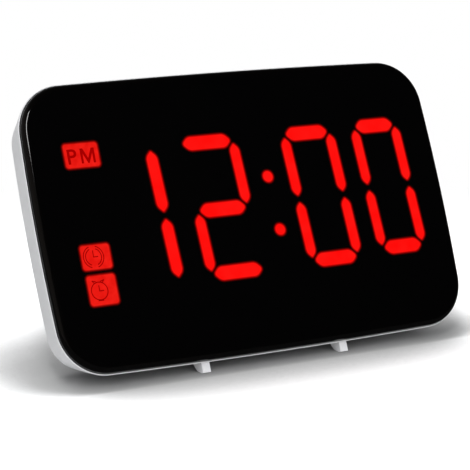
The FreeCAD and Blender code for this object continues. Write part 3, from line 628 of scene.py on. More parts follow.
class Wiring:
    """A node tree, with short ways to add nodes and to join them."""

    def __init__(self, tree: bpy.types.NodeTree) -> None:
        """Takes over a tree."""
        self.tree = tree

    def feed(self, value: object, target: Socket) -> None:
        """Gives an input a plain value, or what another node puts out.

        Args:
            value: The plain value or the other node's socket.
            target: The input.
        """
        if isinstance(value, Socket):
            self.tree.links.new(value, target)
        else:
            target.default_value = value

    def node(self, kind: str, inputs: dict | None = None, **settings: object) -> bpy.types.Node:
        """Adds a node.

        Args:
            kind: The node's type, without "ShaderNode" in front.
            inputs: A plain value or a socket for each input, by its name or number.
            **settings: The node's own settings.

        Returns:
            The node.
        """
        made = self.tree.nodes.new("ShaderNode" + kind)
        for label, value in settings.items():
            setattr(made, label, value)
        for label, value in (inputs or {}).items():
            self.feed(value, made.inputs[label])
        return made

    def math(self, operation: str, first: object, second: object = 0.0) -> Socket:
        """The result of a math node on two plain values or sockets."""
        return self.node("Math", {0: first, 1: second}, operation=operation).outputs[0]

    def mix(self, share: object, first: object, second: object, blend: str = "MIX") -> Socket:
        """Mixes two colours.

        Args:
            share: How much there is of the second, from 0 to 1.
            first: A colour or a socket.
            second: A colour or a socket.
            blend: The way of mixing.

        Returns:
            The mixed colour.
        """
        made = self.node("Mix", {0: share, 6: first, 7: second}, data_type="RGBA", blend_type=blend)
        return made.outputs[2]

    def noise(self, place: Socket, **inputs: object) -> Socket:
        """The value of a noise texture at a place."""
        return self.node("TexNoise", {"Vector": place, **inputs}).outputs[0]

    def ramp(self, value: Socket, levels: Sequence[Point], tint: Colour = WHITE) -> Socket:
        """Turns a value into a colour through given points.

        Args:
            value: The value.
            levels: Each point's value and level, in rising order.
            tint: The colour at a level of 1.

        Returns:
            The colour.
        """
        made = self.node("ValToRGB", {0: value})
        stops = made.color_ramp.elements
        while len(stops) < len(levels):
            stops.new(0.5)
        for stop, (place, level) in zip(stops, levels):
            stop.position, stop.color = place, rgba([level * share for share in tint])
        return made.outputs[0]


class SocketKind(Enum):
    """Kinds of socket that a node group has."""

    VALUE = "NodeSocketFloat"
    COLOUR = "NodeSocketColor"
    VECTOR = "NodeSocketVector"


class EffectGroup(Wiring):
    """A shader node group that is built once and placed in many materials."""

    def __init__(self, name: str, inputs: dict[str, tuple[SocketKind, object]], result: str,
                 kind: SocketKind = SocketKind.VALUE) -> None:
        """Makes the group's sockets.

        Args:
            name: The group's name.
            inputs: Kind and default of each input besides the place on the piece.
            result: Name of the output.
            kind: Kind of the output.
        """
        super().__init__(bpy.data.node_groups.new(name, "ShaderNodeTree"))
        for label, (sort, default) in {"Vector": (SocketKind.VECTOR, (0, 0, 0)), **inputs}.items():
            socket = self.tree.interface.new_socket(name=label, in_out="INPUT", socket_type=sort.value)
            socket.default_value = default
        self.tree.interface.new_socket(name=result, in_out="OUTPUT", socket_type=kind.value)
        self.given = self.tree.nodes.new("NodeGroupInput").outputs
        self.place = self.given["Vector"]
        self._result = self.tree.nodes.new("NodeGroupOutput").inputs[result]

    def finish(self, value: Socket) -> bpy.types.NodeTree:
        """Puts out a value and returns the finished group."""
        self.feed(value, self._result)
        return self.tree


class Effects:
    """The effects that the finishes share."""

    FINE_SHARE: ClassVar[float] = 0.7
    BROAD_SCALE: ClassVar[float] = 0.31
    HAIRLINE_TURN: ClassVar[Place] = (0.2, 0.5, 0.4)
    HAIRLINE_SCALE: ClassVar[Place] = (30.0, 30.0, 1400.0)
    HAIRLINE_LEVEL: ClassVar[float] = 0.68
    DUST_SLOPE: ClassVar[float] = 0.35
    SPECK_CONTRAST: ClassVar[float] = 2.0

    def __init__(self) -> None:
        """Builds the groups."""
        self.grain = self._grain()
        self.uneven = self._uneven()
        self.handling = self._handling()
        self.dust = self._dust()

    def _grain(self) -> bpy.types.NodeTree:
        """Fine grain of a spark-eroded mould.

        Returns:
            The group, which puts out a height.
        """
        group = EffectGroup("moulded_grain", {"Scale": (SocketKind.VALUE, 4000.0),
                                              "Soft": (SocketKind.VALUE, 0.35)}, "Height")
        scale = group.given["Scale"]
        fine = group.noise(group.place, Scale=scale, Detail=2.0, Roughness=group.given["Soft"])
        broad_scale = group.math("MULTIPLY", scale, self.BROAD_SCALE)
        broad = group.noise(group.place, Scale=broad_scale, Detail=1.0)
        return group.finish(group.math("ADD", group.math("MULTIPLY", fine, self.FINE_SHARE),
                                       group.math("MULTIPLY", broad, 1 - self.FINE_SHARE)))

    @staticmethod
    def _uneven() -> bpy.types.NodeTree:
        """Slow drift of a colour over the piece, as between batches and flow lines.

        Returns:
            The group, which puts out a colour.
        """
        group = EffectGroup("uneven_colour", {"Colour": (SocketKind.COLOUR, (0.8, 0.8, 0.8, 1)),
                                              "Drift": (SocketKind.COLOUR, (0.7, 0.7, 0.7, 1)),
                                              "Scale": (SocketKind.VALUE, 40.0),
                                              "Amount": (SocketKind.VALUE, 0.5)},
                            "Colour", SocketKind.COLOUR)
        cloud = group.noise(group.place, Scale=group.given["Scale"], Detail=3.0)
        share = group.math("MULTIPLY", cloud, group.given["Amount"])
        return group.finish(group.mix(share, group.given["Colour"], group.given["Drift"]))

    def _handling(self) -> bpy.types.NodeTree:
        """Soft smudges and a few hairlines on a handled surface.

        Returns:
            The group, which puts out a roughness.
        """
        group = EffectGroup("handling_marks", {"Roughness": (SocketKind.VALUE, 0.4),
                                               "Smudge": (SocketKind.VALUE, 0.1),
                                               "Hairline": (SocketKind.VALUE, 0.05)}, "Roughness")
        smudge = group.noise(group.place, Scale=55.0, Detail=5.0, Distortion=0.6)
        stretched = group.node("Mapping", {"Vector": group.place, "Rotation": self.HAIRLINE_TURN,
                                           "Scale": self.HAIRLINE_SCALE})
        lines = group.noise(stretched.outputs[0], Scale=1.0, Detail=2.0)
        scratch = group.math("GREATER_THAN", lines, self.HAIRLINE_LEVEL)
        marks = group.math("ADD", group.math("MULTIPLY", smudge, group.given["Smudge"]),
                           group.math("MULTIPLY", scratch, group.given["Hairline"]))
        return group.finish(group.math("ADD", group.given["Roughness"], marks))

    def _dust(self) -> bpy.types.NodeTree:
        """Fine dust that settles on what faces up.

        Returns:
            The group, which puts out a mask.
        """
        group = EffectGroup("settled_dust", {"Normal": (SocketKind.VECTOR, (0, 0, 1)),
                                             "Amount": (SocketKind.VALUE, 0.2)}, "Mask")
        specks = group.noise(group.place, Scale=1500.0, Detail=3.0)
        facing = group.node("SeparateXYZ", {0: group.given["Normal"]}).outputs["Z"]
        upward = group.math("MAXIMUM", group.math("SUBTRACT", facing, self.DUST_SLOPE), 0.0)
        speckled = group.math("MULTIPLY", upward, group.math("POWER", specks, self.SPECK_CONTRAST))
        return group.finish(group.math("MULTIPLY", speckled, group.given["Amount"]))


EFFECTS = Effects()


# ---- finishes -----------------------------------------------------------------------------------
class Coloured(Protocol):
    """A finish whose colour drifts towards another over the piece."""

    colour: Colour
    drift: Colour
    drift_scale: float
    drift_amount: float


class Handled(Protocol):
    """A finish whose roughness shows that the piece has been handled."""

    roughness: float
    smudge: float
    hairline: float


class Shader(Wiring):
    """A material under construction: one Principled shader and what feeds it."""

    def __init__(self, name: str) -> None:
        """Starts a material with its shader and the piece's own coordinates.

        Args:
            name: The material's name.
        """
        self.material = bpy.data.materials.new(name)
        self.material.use_nodes = True
        super().__init__(self.material.node_tree)
        self.surface = self.tree.nodes["Principled BSDF"].inputs
        self.place = self.node("TexCoord").outputs["Object"]

    def set(self, **values: object) -> None:
        """Feeds the shader plain values or sockets, with _ for a space in an input's name."""
        for label, value in values.items():
            self.feed(value, self.surface[label.replace("_", " ")])

    def effect(self, group: bpy.types.NodeTree, **inputs: object) -> Socket:
        """What one of the shared effects puts out on this piece.

        Args:
            group: The effect's node group.
            **inputs: A plain value or a socket for each of its inputs.

        Returns:
            The group's output.
        """
        return self.node("Group", {"Vector": self.place, **inputs}, node_tree=group).outputs[0]

    def bump(self, height: Socket, distance: float, strength: float) -> None:
        """Raises the surface by a height, in metres of distance."""
        raised = self.node("Bump", {"Height": height, "Distance": distance, "Strength": strength})
        self.set(Normal=raised.outputs[0])

    def uneven(self, finish: Coloured) -> Socket:
        """A finish's colour, which drifts a little over the piece."""
        return self.effect(EFFECTS.uneven, Colour=rgba(finish.colour), Drift=rgba(finish.drift),
                           Scale=finish.drift_scale, Amount=finish.drift_amount)

    def handled(self, finish: Handled) -> Socket:
        """A finish's roughness, with smudges and hairlines from handling."""
        return self.effect(EFFECTS.handling, Roughness=finish.roughness, Smudge=finish.smudge,
                           Hairline=finish.hairline)


@dataclass(frozen=True)
class MouldedPlastic:
    """Injection-moulded plastic with a fine even grain, a little dust and handling marks."""

    name: str
    colour: Colour
    drift: Colour
    roughness: float = 0.4
    grain_scale: float = 4200.0
    grain_height: float = 0.00002
    grain_strength: float = 0.35
    drift_scale: float = 35.0
    drift_amount: float = 0.6
    smudge: float = 0.12
    hairline: float = 0.04
    dust: float = 0.1
    dust_colour: Colour = (0.55, 0.53, 0.5)

    def material(self) -> bpy.types.Material:
        """Mixes the finish.

        Returns:
            The material.
        """
        shader = Shader(self.name)
        normal = shader.node("NewGeometry").outputs["Normal"]
        dust = shader.effect(EFFECTS.dust, Normal=normal, Amount=self.dust)
        colour = shader.mix(dust, shader.uneven(self), rgba(self.dust_colour))
        shader.set(Base_Color=colour, Roughness=shader.handled(self))
        grain = shader.effect(EFFECTS.grain, Scale=self.grain_scale)
        shader.bump(grain, self.grain_height, self.grain_strength)
        return shader.material


@dataclass(frozen=True)
class PolishedPlastic:
    """Polished plastic, such as the smoked lens: dark, glossy and very slightly wavy."""

    name: str
    colour: Colour
    drift: Colour
    roughness: float = 0.035
    smudge: float = 0.03
    hairline: float = 0.02
    gloss: float = 0.5
    drift_scale: float = 60.0
    drift_amount: float = 1.0
    wave_scale: float = 260.0
    wave_softness: float = 0.2
    wave_height: float = 0.000004
    wave_strength: float = 0.25

    def material(self) -> bpy.types.Material:
        """Mixes the finish.

        Returns:
            The material.
        """
        shader = Shader(self.name)
        shader.set(Base_Color=shader.uneven(self), Roughness=shader.handled(self), IOR=PLASTIC_IOR,
                   Specular_IOR_Level=self.gloss)
        wave = shader.effect(EFFECTS.grain, Scale=self.wave_scale, Soft=self.wave_softness)
        shader.bump(wave, self.wave_height, self.wave_strength)
        return shader.material


@dataclass(frozen=True)
class LitPlastic:
    """What shows through the lens where LEDs stand behind it: red light, a little uneven.

    A soft-edged one fades to dark along the piece's own "glow", from 1 within to 0 at its rim.
    """

    name: str
    drift: Colour
    colour: Colour
    base: Colour = (0.02, 0.0, 0.0)
    drift_scale: float = 180.0
    drift_amount: float = 1.2
    roughness: float = 0.05
    soft_edge: bool = True
    falloff: float = 2.2

    def material(self) -> bpy.types.Material:
        """Mixes the finish.

        Returns:
            The material.
        """
        shader = Shader(self.name)
        light = shader.uneven(self)
        if self.soft_edge:
            glow = shader.node("Attribute", attribute_name=GLOW).outputs["Fac"]
            light = shader.mix(shader.math("POWER", glow, self.falloff), rgba(BLACK), light)
        shader.set(Base_Color=rgba(self.base), Roughness=self.roughness, IOR=PLASTIC_IOR,
                   Specular_IOR_Level=COATED_GLOSS, Emission_Color=light, Emission_Strength=1.0)
        return shader.material


@dataclass(frozen=True)
class PlatedMetal:
    """Plated or bare metal with fine brushing and a dull bloom."""

    name: str
    colour: Colour
    drift: Colour
    roughness: float = 0.3
    smudge: float = 0.2
    hairline: float = 0.1
    drift_scale: float = 300.0
    drift_amount: float = 0.9
    brush_scale: float = 3000.0
    brush_height: float = 0.00001
    brush_strength: float = 0.2

    def material(self) -> bpy.types.Material:
        """Mixes the finish.

        Returns:
            The material.
        """
        shader = Shader(self.name)
        shader.set(Base_Color=shader.uneven(self), Roughness=shader.handled(self), Metallic=1.0)
        brushing = shader.effect(EFFECTS.grain, Scale=self.brush_scale)
        shader.bump(brushing, self.brush_height, self.brush_strength)
        return shader.material


class Finish(Enum):
    """Every finish of the clock."""

    SMOKED_LENS = PolishedPlastic("smoked_lens", (0.0006, 0.0006, 0.0007), (0.001, 0.0009, 0.0009),
                                  gloss=COATED_GLOSS)
    # Painted light: the lens's rounded edge is the same acrylic given a lighter brownish colour; together
    # with the lamps and the mirrored surround it makes the brown band along the edge.
    LENS_EDGE_PAINTED_LIGHT = PolishedPlastic("lens_edge_painted_light", (0.0012, 0.001, 0.0009), (0.0008, 0.0007, 0.0007), 0.05, 0.05)
    LIT_RED = LitPlastic("lit_red", (1.0, 0.009, 0.007), (0.97, 0.0005, 0.0005))
    LIT_BADGE = LitPlastic("lit_badge", (0.92, 0.016, 0.01), (0.62, 0.002, 0.001), drift_scale=420.0)
    BADGE_INK = LitPlastic("badge_ink", (0.36, 0.0, 0.0), (0.33, 0.0, 0.0), soft_edge=False)
    BADGE_LINE = LitPlastic("badge_line", (0.3, 0.0, 0.0), (0.26, 0.0, 0.0), soft_edge=False)
    WHITE_SHELL = MouldedPlastic("white_shell", (0.79, 0.79, 0.8), (0.72, 0.72, 0.74))
    WHITE_STAND = MouldedPlastic("white_stand", (0.77, 0.77, 0.78), (0.7, 0.7, 0.72), 0.36)
    KEY_GREY = MouldedPlastic("key_grey", (0.6, 0.6, 0.62), (0.54, 0.54, 0.57), 0.32,
                              grain_strength=0.15)
    MARK_GREY = MouldedPlastic("mark_grey", (0.17, 0.17, 0.18), (0.13, 0.13, 0.14), 0.5)
    BLACK_PART = MouldedPlastic("black_part", (0.02, 0.02, 0.022), (0.03, 0.03, 0.032), 0.45)
    FRAME_BLACK = MouldedPlastic("frame_black", (0.018, 0.018, 0.02), (0.026, 0.026, 0.028), 0.5)
    WELL_DARK = MouldedPlastic("well_dark", (0.03, 0.03, 0.032), (0.045, 0.045, 0.046), 0.5)
    BOARD = MouldedPlastic("board_green", (0.015, 0.12, 0.045), (0.01, 0.08, 0.03), 0.3,
                           grain_scale=900.0)
    LED_BODY = MouldedPlastic("led_body", (0.8, 0.76, 0.66), (0.72, 0.66, 0.5), 0.3)
    GUIDE_RED = PolishedPlastic("guide_red", (0.45, 0.012, 0.01), (0.36, 0.008, 0.008), 0.12, 0.06)
    STEEL = PlatedMetal("zinc_steel", (0.62, 0.62, 0.6), (0.5, 0.5, 0.49))
    CONTACT = PlatedMetal("nickel_contact", (0.68, 0.66, 0.6), (0.55, 0.53, 0.48), 0.22)
    CELL_END = PlatedMetal("cell_end", (0.66, 0.65, 0.62), (0.54, 0.53, 0.5), 0.28)
    CELL_SLEEVE = PolishedPlastic("cell_sleeve", (0.035, 0.037, 0.042), (0.05, 0.052, 0.058), 0.22, 0.1)
    CELL_BAND = PolishedPlastic("cell_band", (0.42, 0.2, 0.06), (0.36, 0.16, 0.045), 0.2, 0.1)


class Paint:
    """Makes each finish's material once."""

    def __init__(self) -> None:
        """Starts with no material made."""
        self._made: dict[Finish, bpy.types.Material] = {}

    def of(self, finish: Finish) -> bpy.types.Material:
        """The material of a finish."""
        if finish not in self._made:
            self._made[finish] = finish.value.material()
        return self._made[finish]


PAINT = Paint()


# ---- making and dressing pieces -----------------------------------------------------------------
@dataclass(frozen=True)
class Dressing:
    """What a piece is finished in, and what it stands for."""

    finishes: tuple[Finish, ...]
    slot: str
    body: str = "case"
    stands_for: tuple[str, ...] = ()


def make_piece(name: str, mesh: Mesh, dressing: Dressing) -> bpy.types.Object:
    """Turns a mesh into a piece of the clock.

    Args:
        name: The piece's name.
        mesh: Its shape in casing millimetres, which is used up.
        dressing: Its finishes, body and the CAD nodes that it replaces; its slot is not used.

    Returns:
        The new object.
    """
    bmesh.ops.transform(mesh, matrix=CASING.matrix(), verts=mesh.verts)
    for face in mesh.faces:
        face.smooth = True
    data = bpy.data.meshes.new(name)
    mesh.to_mesh(data)
    mesh.free()
    data.set_sharp_from_angle(angle=SHARP_ANGLE)
    for finish in dressing.finishes:
        data.materials.append(PAINT.of(finish))
    piece = bpy.data.objects.new(name, data)
    bpy.context.scene.collection.objects.link(piece)
    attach(piece, dressing.body)
    if dressing.stands_for:
        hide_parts(*dressing.stands_for)
    LOG.info("%s: %d faces on %s", name, len(data.polygons), dressing.body)
    return piece


def keep_flats_flat(piece: bpy.types.Object) -> None:
    """Shades broad flat faces as flat, and leaves the turn of the light to the small rounds.

    Args:
        piece: The piece, which keeps a live modifier for it.
    """
    evened = piece.modifiers.new("flat_faces", "WEIGHTED_NORMAL")
    evened.mode = "FACE_AREA"
    evened.weight = FLAT_WEIGHT
    evened.keep_sharp = True


def softened_copy(node: str, width: float, steps: int = 3) -> Mesh:
    """A CAD node's shape with its sharp edges rounded off.

    Args:
        node: The CAD node.
        width: How far the rounding reaches, in millimetres.
        steps: How many pieces the rounding has.

    Returns:
        The shape in casing millimetres.
    """
    mesh = bmesh.new()
    mesh.from_mesh(frame["nodes"][node].data)
    bmesh.ops.transform(mesh, matrix=CASING.matrix().inverted(), verts=mesh.verts)
    bmesh.ops.remove_doubles(mesh, verts=mesh.verts, dist=NODE_WELD)
    bmesh.ops.dissolve_limit(mesh, angle_limit=FLAT_ANGLE, verts=mesh.verts, edges=mesh.edges)
    bmesh.ops.recalc_face_normals(mesh, faces=mesh.faces)
    soften(mesh, width, steps)
    return mesh


def dress_node(node: str, finish: Finish) -> None:
    """Gives a CAD node a finish, and leaves its shape alone."""
    data = frame["nodes"][node].data
    data.materials.clear()
    data.materials.append(PAINT.of(finish))


# ---- lens ---------------------------------------------------------------------------------------
@dataclass(frozen=True)
class FrontLens:
    """The glossy cover: a flat face that rounds over into a short side, a little wider at its rim."""

    outline: Outline
    inset: float = 0.5
    rim_inset: float = 0.35
    edge_radius: float = 1.9
    rim_depth: float = 3.0
    skirt: float = 2.2
    thickness: float = 2.0
    round_steps: int = 12
    flat_within: float = 0.999

    def build(self) -> Mesh:
        """Makes the cover's shape.

        Returns:
            The cover as a closed shell.
        """
        inner = self.inset + self.skirt
        rounded = quarter((self.inset + self.edge_radius, self.edge_radius), self.edge_radius, -90, 0,
                          self.round_steps)
        return self.outline.solid(rounded + [(self.rim_inset, self.rim_depth), (inner, self.rim_depth),
                                             (inner, self.thickness)])

    def dress(self) -> None:
        """Makes the piece, with the flat face in one finish and the edge in a lighter, brown-tinted copy of
        it that paints in part of the light along the edge.
        """
        mesh = self.build()
        mesh.normal_update()
        for face in mesh.faces:
            face.material_index = 0 if abs(face.normal.y) > self.flat_within else 1
        make_piece("lens_cover", mesh, Dressing((Finish.SMOKED_LENS, Finish.LENS_EDGE_PAINTED_LIGHT), "black_lens",
                                                stands_for=("front_lens",)))


# ---- signs on the badges ------------------------------------------------------------------------
@dataclass(frozen=True)
class AfternoonSign:
    """The letters of the afternoon badge, and where they stand from its middle.

    A letter is given by its left and right; valley and shoulder are shares of the stroke.
    """

    x: float = 0.0
    z: float = 0.0
    ink: Finish = Finish.BADGE_INK
    low: float = -2.6
    high: float = 2.15
    first_letter: Point = (-4.8, -1.65)
    second_letter: Point = (-0.35, 4.5)
    weight: float = 0.014
    stroke: float = 0.78
    valley: float = 0.28
    shoulder: float = 1.25

    def draw(self) -> Drawing:
        """Draws the two letters, the second as a shape of its own.

        Returns:
            The drawing.
        """
        drawing = Drawing()
        low, top, stroke = self.low, self.high, self.stroke
        left, right = self.first_letter
        drawing.letters("P", (left, low), (right, top), self.weight)
        left, right = self.second_letter
        middle, valley, tip = (left + right) / 2, self.valley * stroke, self.shoulder * stroke
        drawing.polygon([(left, low), (left + stroke, low), (left + stroke, top - 2 * stroke),
                         (middle - valley, low), (middle + valley, low), (right - stroke, top - 2 * stroke),
                         (right - stroke, low), (right, low), (right, top), (right - tip, top),
                         (middle, low + 2 * stroke), (left + tip, top), (left, top)])
        return drawing


@dataclass(frozen=True)
class SoundSign:
    """A clock with sound around it: two hands and two broken rings."""

    x: float = -0.8
    z: float = 0.1
    ink: Finish = Finish.BADGE_LINE
    stroke: float = 0.3
    near_ring: Point = (2.65, 68)
    far_ring: Point = (3.4, 72)
    minute_hand: float = 1.9
    hour_hand: float = 1.4

    def draw(self) -> Drawing:
        """Draws the sign about the clock's middle.

        Each ring is given by its radius, and by how many degrees it reaches from level, each way.

        Returns:
            The drawing.
        """
        drawing = Drawing()
        for radius, reach in (self.near_ring, self.far_ring):
            for start in (-reach, 180 - reach):
                drawing.arc(radius, self.stroke, start, 2 * reach)
        drawing.hands(self.minute_hand, self.hour_hand, self.stroke)
        return drawing


@dataclass(frozen=True)
class AlarmSign:
    """An alarm clock: a round body with hands, two ears and a foot."""

    x: float = -1.1
    z: float = -0.2
    ink: Finish = Finish.BADGE_LINE
    stroke: float = 0.3
    radius: float = 2.75
    ring_steps: int = 40
    minute_hand: float = 1.6
    hour_hand: float = 1.35
    foot_reach: float = 0.8
    foot_z: float = -2.95
    ear_tip: Point = (1.95, 3.25)
    ear_inner: Point = (0.85, 2.95)
    ear_lower: Point = (1.5, 2.65)

    def draw(self) -> Drawing:
        """Draws the sign about the clock's middle.

        Returns:
            The drawing.
        """
        drawing = Drawing()
        drawing.arc(self.radius, self.stroke, 0, 360, self.ring_steps)
        drawing.hands(self.minute_hand, self.hour_hand, self.stroke)
        drawing.line((-self.foot_reach, self.foot_z), (self.foot_reach, self.foot_z), self.stroke)
        tip_x, tip_z = self.ear_tip
        for side in (-1, 1):
            for x, z in (self.ear_inner, self.ear_lower):
                drawing.line((side * x, z), (side * tip_x, tip_z), self.stroke)
        return drawing


# ---- lit display --------------------------------------------------------------------------------
@dataclass(frozen=True)
class LitDigit:
    """What one digit shows: its middle, its size between middle lines, its waist and its segments."""

    x: float
    z: float
    width: float
    height: float
    upright: float
    waist: float
    lit: str


@dataclass(frozen=True)
class Segment:
    """A segment of a digit: its middle, its length between middle lines, and whether it is upright."""

    x: float
    z: float
    length: float
    upright: bool = True


@dataclass(frozen=True)
class LitDisplay:
    """The parts of the lens that glow: the digits' segments, the two dots and three badges."""

    face_y: float = -0.02
    ink_y: float = -0.04
    middle_z: float = 1.8
    slant: float = 0.035
    level: float = 4.9
    upright_gap: float = 0.45
    level_gap: float = -0.1
    level_raise: float = 0.01
    upright_tip: float = 1.15
    level_tip: float = 1.75
    tip_steps: int = 6
    side_round: float = 1.3
    side_steps: int = 5
    glow_width: float = 0.94
    end_growth: float = 0.24
    free_reach: float = 0.75
    dot_radius: float = 2.08
    dots_x: float = 8.15
    dots_z: float = 1.0
    dot_rise: float = 8.8
    badge_corner: float = 1.7
    badge_steps: int = 6

    DIGITS: ClassVar[dict[str, LitDigit]] = {
        "digit_hours_tens": LitDigit(-40.4, 1.35, 17.4, 42.9, 4.3, -0.55, "bc"),
        "digit_hours_units": LitDigit(-10.8, 1.65, 18.1, 42.4, 3.9, -0.75, "abged"),
        "digit_minutes_tens": LitDigit(26.3, 1.85, 17.3, 42.2, 3.9, -0.5, "abcdef"),
        "digit_minutes_units": LitDigit(53.05, 2.65, 16.0, 41.4, 3.8, 0.0, "abcdef"),
    }

    def end_bar(self, digit: LitDigit, z: float, left: str, right: str) -> Segment:
        """The level segment at a digit's top or foot, longer where no upright is lit beside it.

        Args:
            digit: What the digit shows.
            z: The segment's height.
            left: The upright at its left end.
            right: The upright at its right end.

        Returns:
            The segment.
        """
        left_reach, right_reach = (self.free_reach * (near not in digit.lit) for near in (left, right))
        return Segment(digit.x + (right_reach - left_reach) / 2, z, digit.width + left_reach + right_reach,
                       upright=False)

    def segments(self, digit: LitDigit) -> list[Segment]:
        """The lit segments of one digit.

        Args:
            digit: What the digit shows.

        Returns:
            The segments in the order that the digit names them.
        """
        left, right, waist = digit.x - digit.width / 2, digit.x + digit.width / 2, digit.z + digit.waist
        top, foot = digit.z + digit.height / 2, digit.z - digit.height / 2
        upper, lower = (waist + top) / 2, (foot + waist) / 2
        places = {
            "a": self.end_bar(digit, top, "f", "b"),
            "b": Segment(right, upper, top - waist),
            "c": Segment(right, lower, waist - foot),
            "d": self.end_bar(digit, foot, "e", "c"),
            "e": Segment(left, lower, waist - foot),
            "f": Segment(left, upper, top - waist),
            "g": Segment(digit.x, waist, digit.width, upright=False),
        }
        return [places[name] for name in digit.lit]

    def lean(self, mesh: Mesh) -> None:
        """Leans a shape to the digits' slant.

        Args:
            mesh: The shape, in its place on the casing.
        """
        shear = Matrix.Identity(4)
        shear[0][2] = -self.slant
        shear[0][3] = self.slant * self.middle_z
        bmesh.ops.transform(mesh, matrix=shear, verts=mesh.verts)

    def light(self, mesh: Mesh) -> None:
        """Gives a lit shape its soft edge: a rim over which the glow fades to nothing.

        Args:
            mesh: The shape, which has one face.
        """
        glow = mesh.verts.layers.float.new(GLOW)
        mesh.faces.ensure_lookup_table()
        core = mesh.faces[0]
        bmesh.ops.inset_individual(mesh, faces=[core], thickness=self.glow_width, use_even_offset=True)
        for vertex in core.verts:
            vertex[glow] = 1.0

    def segment_shape(self, digit: LitDigit, segment: Segment) -> Drawing:
        """One lit segment, drawn about its own middle.

        Args:
            digit: The digit that it belongs to.
            segment: The segment.

        Returns:
            The drawing.
        """
        if segment.upright:
            gap, thick, tip = self.upright_gap, digit.upright, self.upright_tip
        else:
            gap, thick, tip = self.level_gap, self.level, self.level_tip
        half = segment.length / 2 - gap + self.end_growth * math.sqrt(2)
        side = thick / 2 + self.glow_width / 2
        drawing = Drawing()
        mesh = drawing.mesh
        face = drawing.polygon([(-half, 0), (side - half, -side), (half - side, -side),
                                (half, 0), (half - side, side), (side - half, side)])
        tips = [v for v in face.verts if abs(v.co.y) < WELD]
        sides = [v for v in face.verts if abs(v.co.y) >= WELD]
        round_corners(mesh, tips, tip, self.tip_steps)
        round_corners(mesh, sides, self.side_round, self.side_steps)
        if segment.upright:
            bmesh.ops.rotate(mesh, cent=(0, 0, 0), matrix=Matrix.Rotation(math.pi / 2, 3, "Z"),
                             verts=mesh.verts)
        self.light(mesh)
        return drawing

    def digit(self, digit: LitDigit) -> Mesh:
        """The lit shape of one digit.

        Args:
            digit: What the digit shows.

        Returns:
            Its segments in their places.
        """
        mesh = bmesh.new()
        for segment in self.segments(digit):
            y = self.face_y if segment.upright else self.face_y - self.level_raise
            shape = self.segment_shape(digit, segment)
            join(mesh, shape.stand(Side.FRONT, (segment.x, y, segment.z)))
        self.lean(mesh)
        return mesh

    def dots(self) -> Mesh:
        """The lit shape between hours and minutes.

        Returns:
            The two round dots in their places.
        """
        mesh = bmesh.new()
        for rise in (-self.dot_rise, self.dot_rise):
            dot = Drawing()
            dot.disc(self.dot_radius + self.glow_width / 2)
            self.light(dot.mesh)
            join(mesh, dot.stand(Side.FRONT, (self.dots_x, self.face_y, self.dots_z + rise)))
        self.lean(mesh)
        return mesh

    def badge(self, node: str) -> Mesh:
        """The lit shape of a badge, which covers its light guide.

        Args:
            node: The light guide's CAD node.

        Returns:
            The badge's plate in its place.
        """
        low, high = CASING.box(node)
        half_x, half_z = ((high[axis] - low[axis] + self.glow_width) / 2 for axis in (0, 2))
        drawing = Drawing()
        face = drawing.polygon([(-half_x, -half_z), (half_x, -half_z), (half_x, half_z), (-half_x, half_z)])
        round_corners(drawing.mesh, list(face.verts), self.badge_corner, self.badge_steps)
        self.light(drawing.mesh)
        x, z = CASING.spot(node)
        return drawing.stand(Side.FRONT, (x, self.face_y, z))

    def dress(self) -> None:
        """Makes every lit piece."""
        lit = Dressing((Finish.LIT_RED,), "red_guides")
        for node, digit in self.DIGITS.items():
            make_piece("lit_" + node, self.digit(digit), lit)
        make_piece("lit_colon", self.dots(), lit)
        signs = {"badge_pm": AfternoonSign(), "badge_sound": SoundSign(), "badge_alarm": AlarmSign()}
        for node, sign in signs.items():
            make_piece("lit_" + node, self.badge(node), Dressing((Finish.LIT_BADGE,), "red_guides"))
            x, z = CASING.spot(node)
            ink = sign.draw().stand(Side.FRONT, (x + sign.x, self.ink_y, z + sign.z))
            make_piece("ink_" + node, ink, Dressing((sign.ink,), "red_guides"))


# ---- controls on the back -----------------------------------------------------------------------
class Button(Enum):
    """The push buttons on the back."""

    SET = "set"
    UP = "up"
    DOWN = "down"
    ALARM = "alarm"
    LIGHT = "light"

    @property
    def node(self) -> str:
        """The button's CAD node."""
        return "button_" + self.value

    @property
    def body(self) -> str:
        """The body that the button moves with."""
        return self.value + "_button"


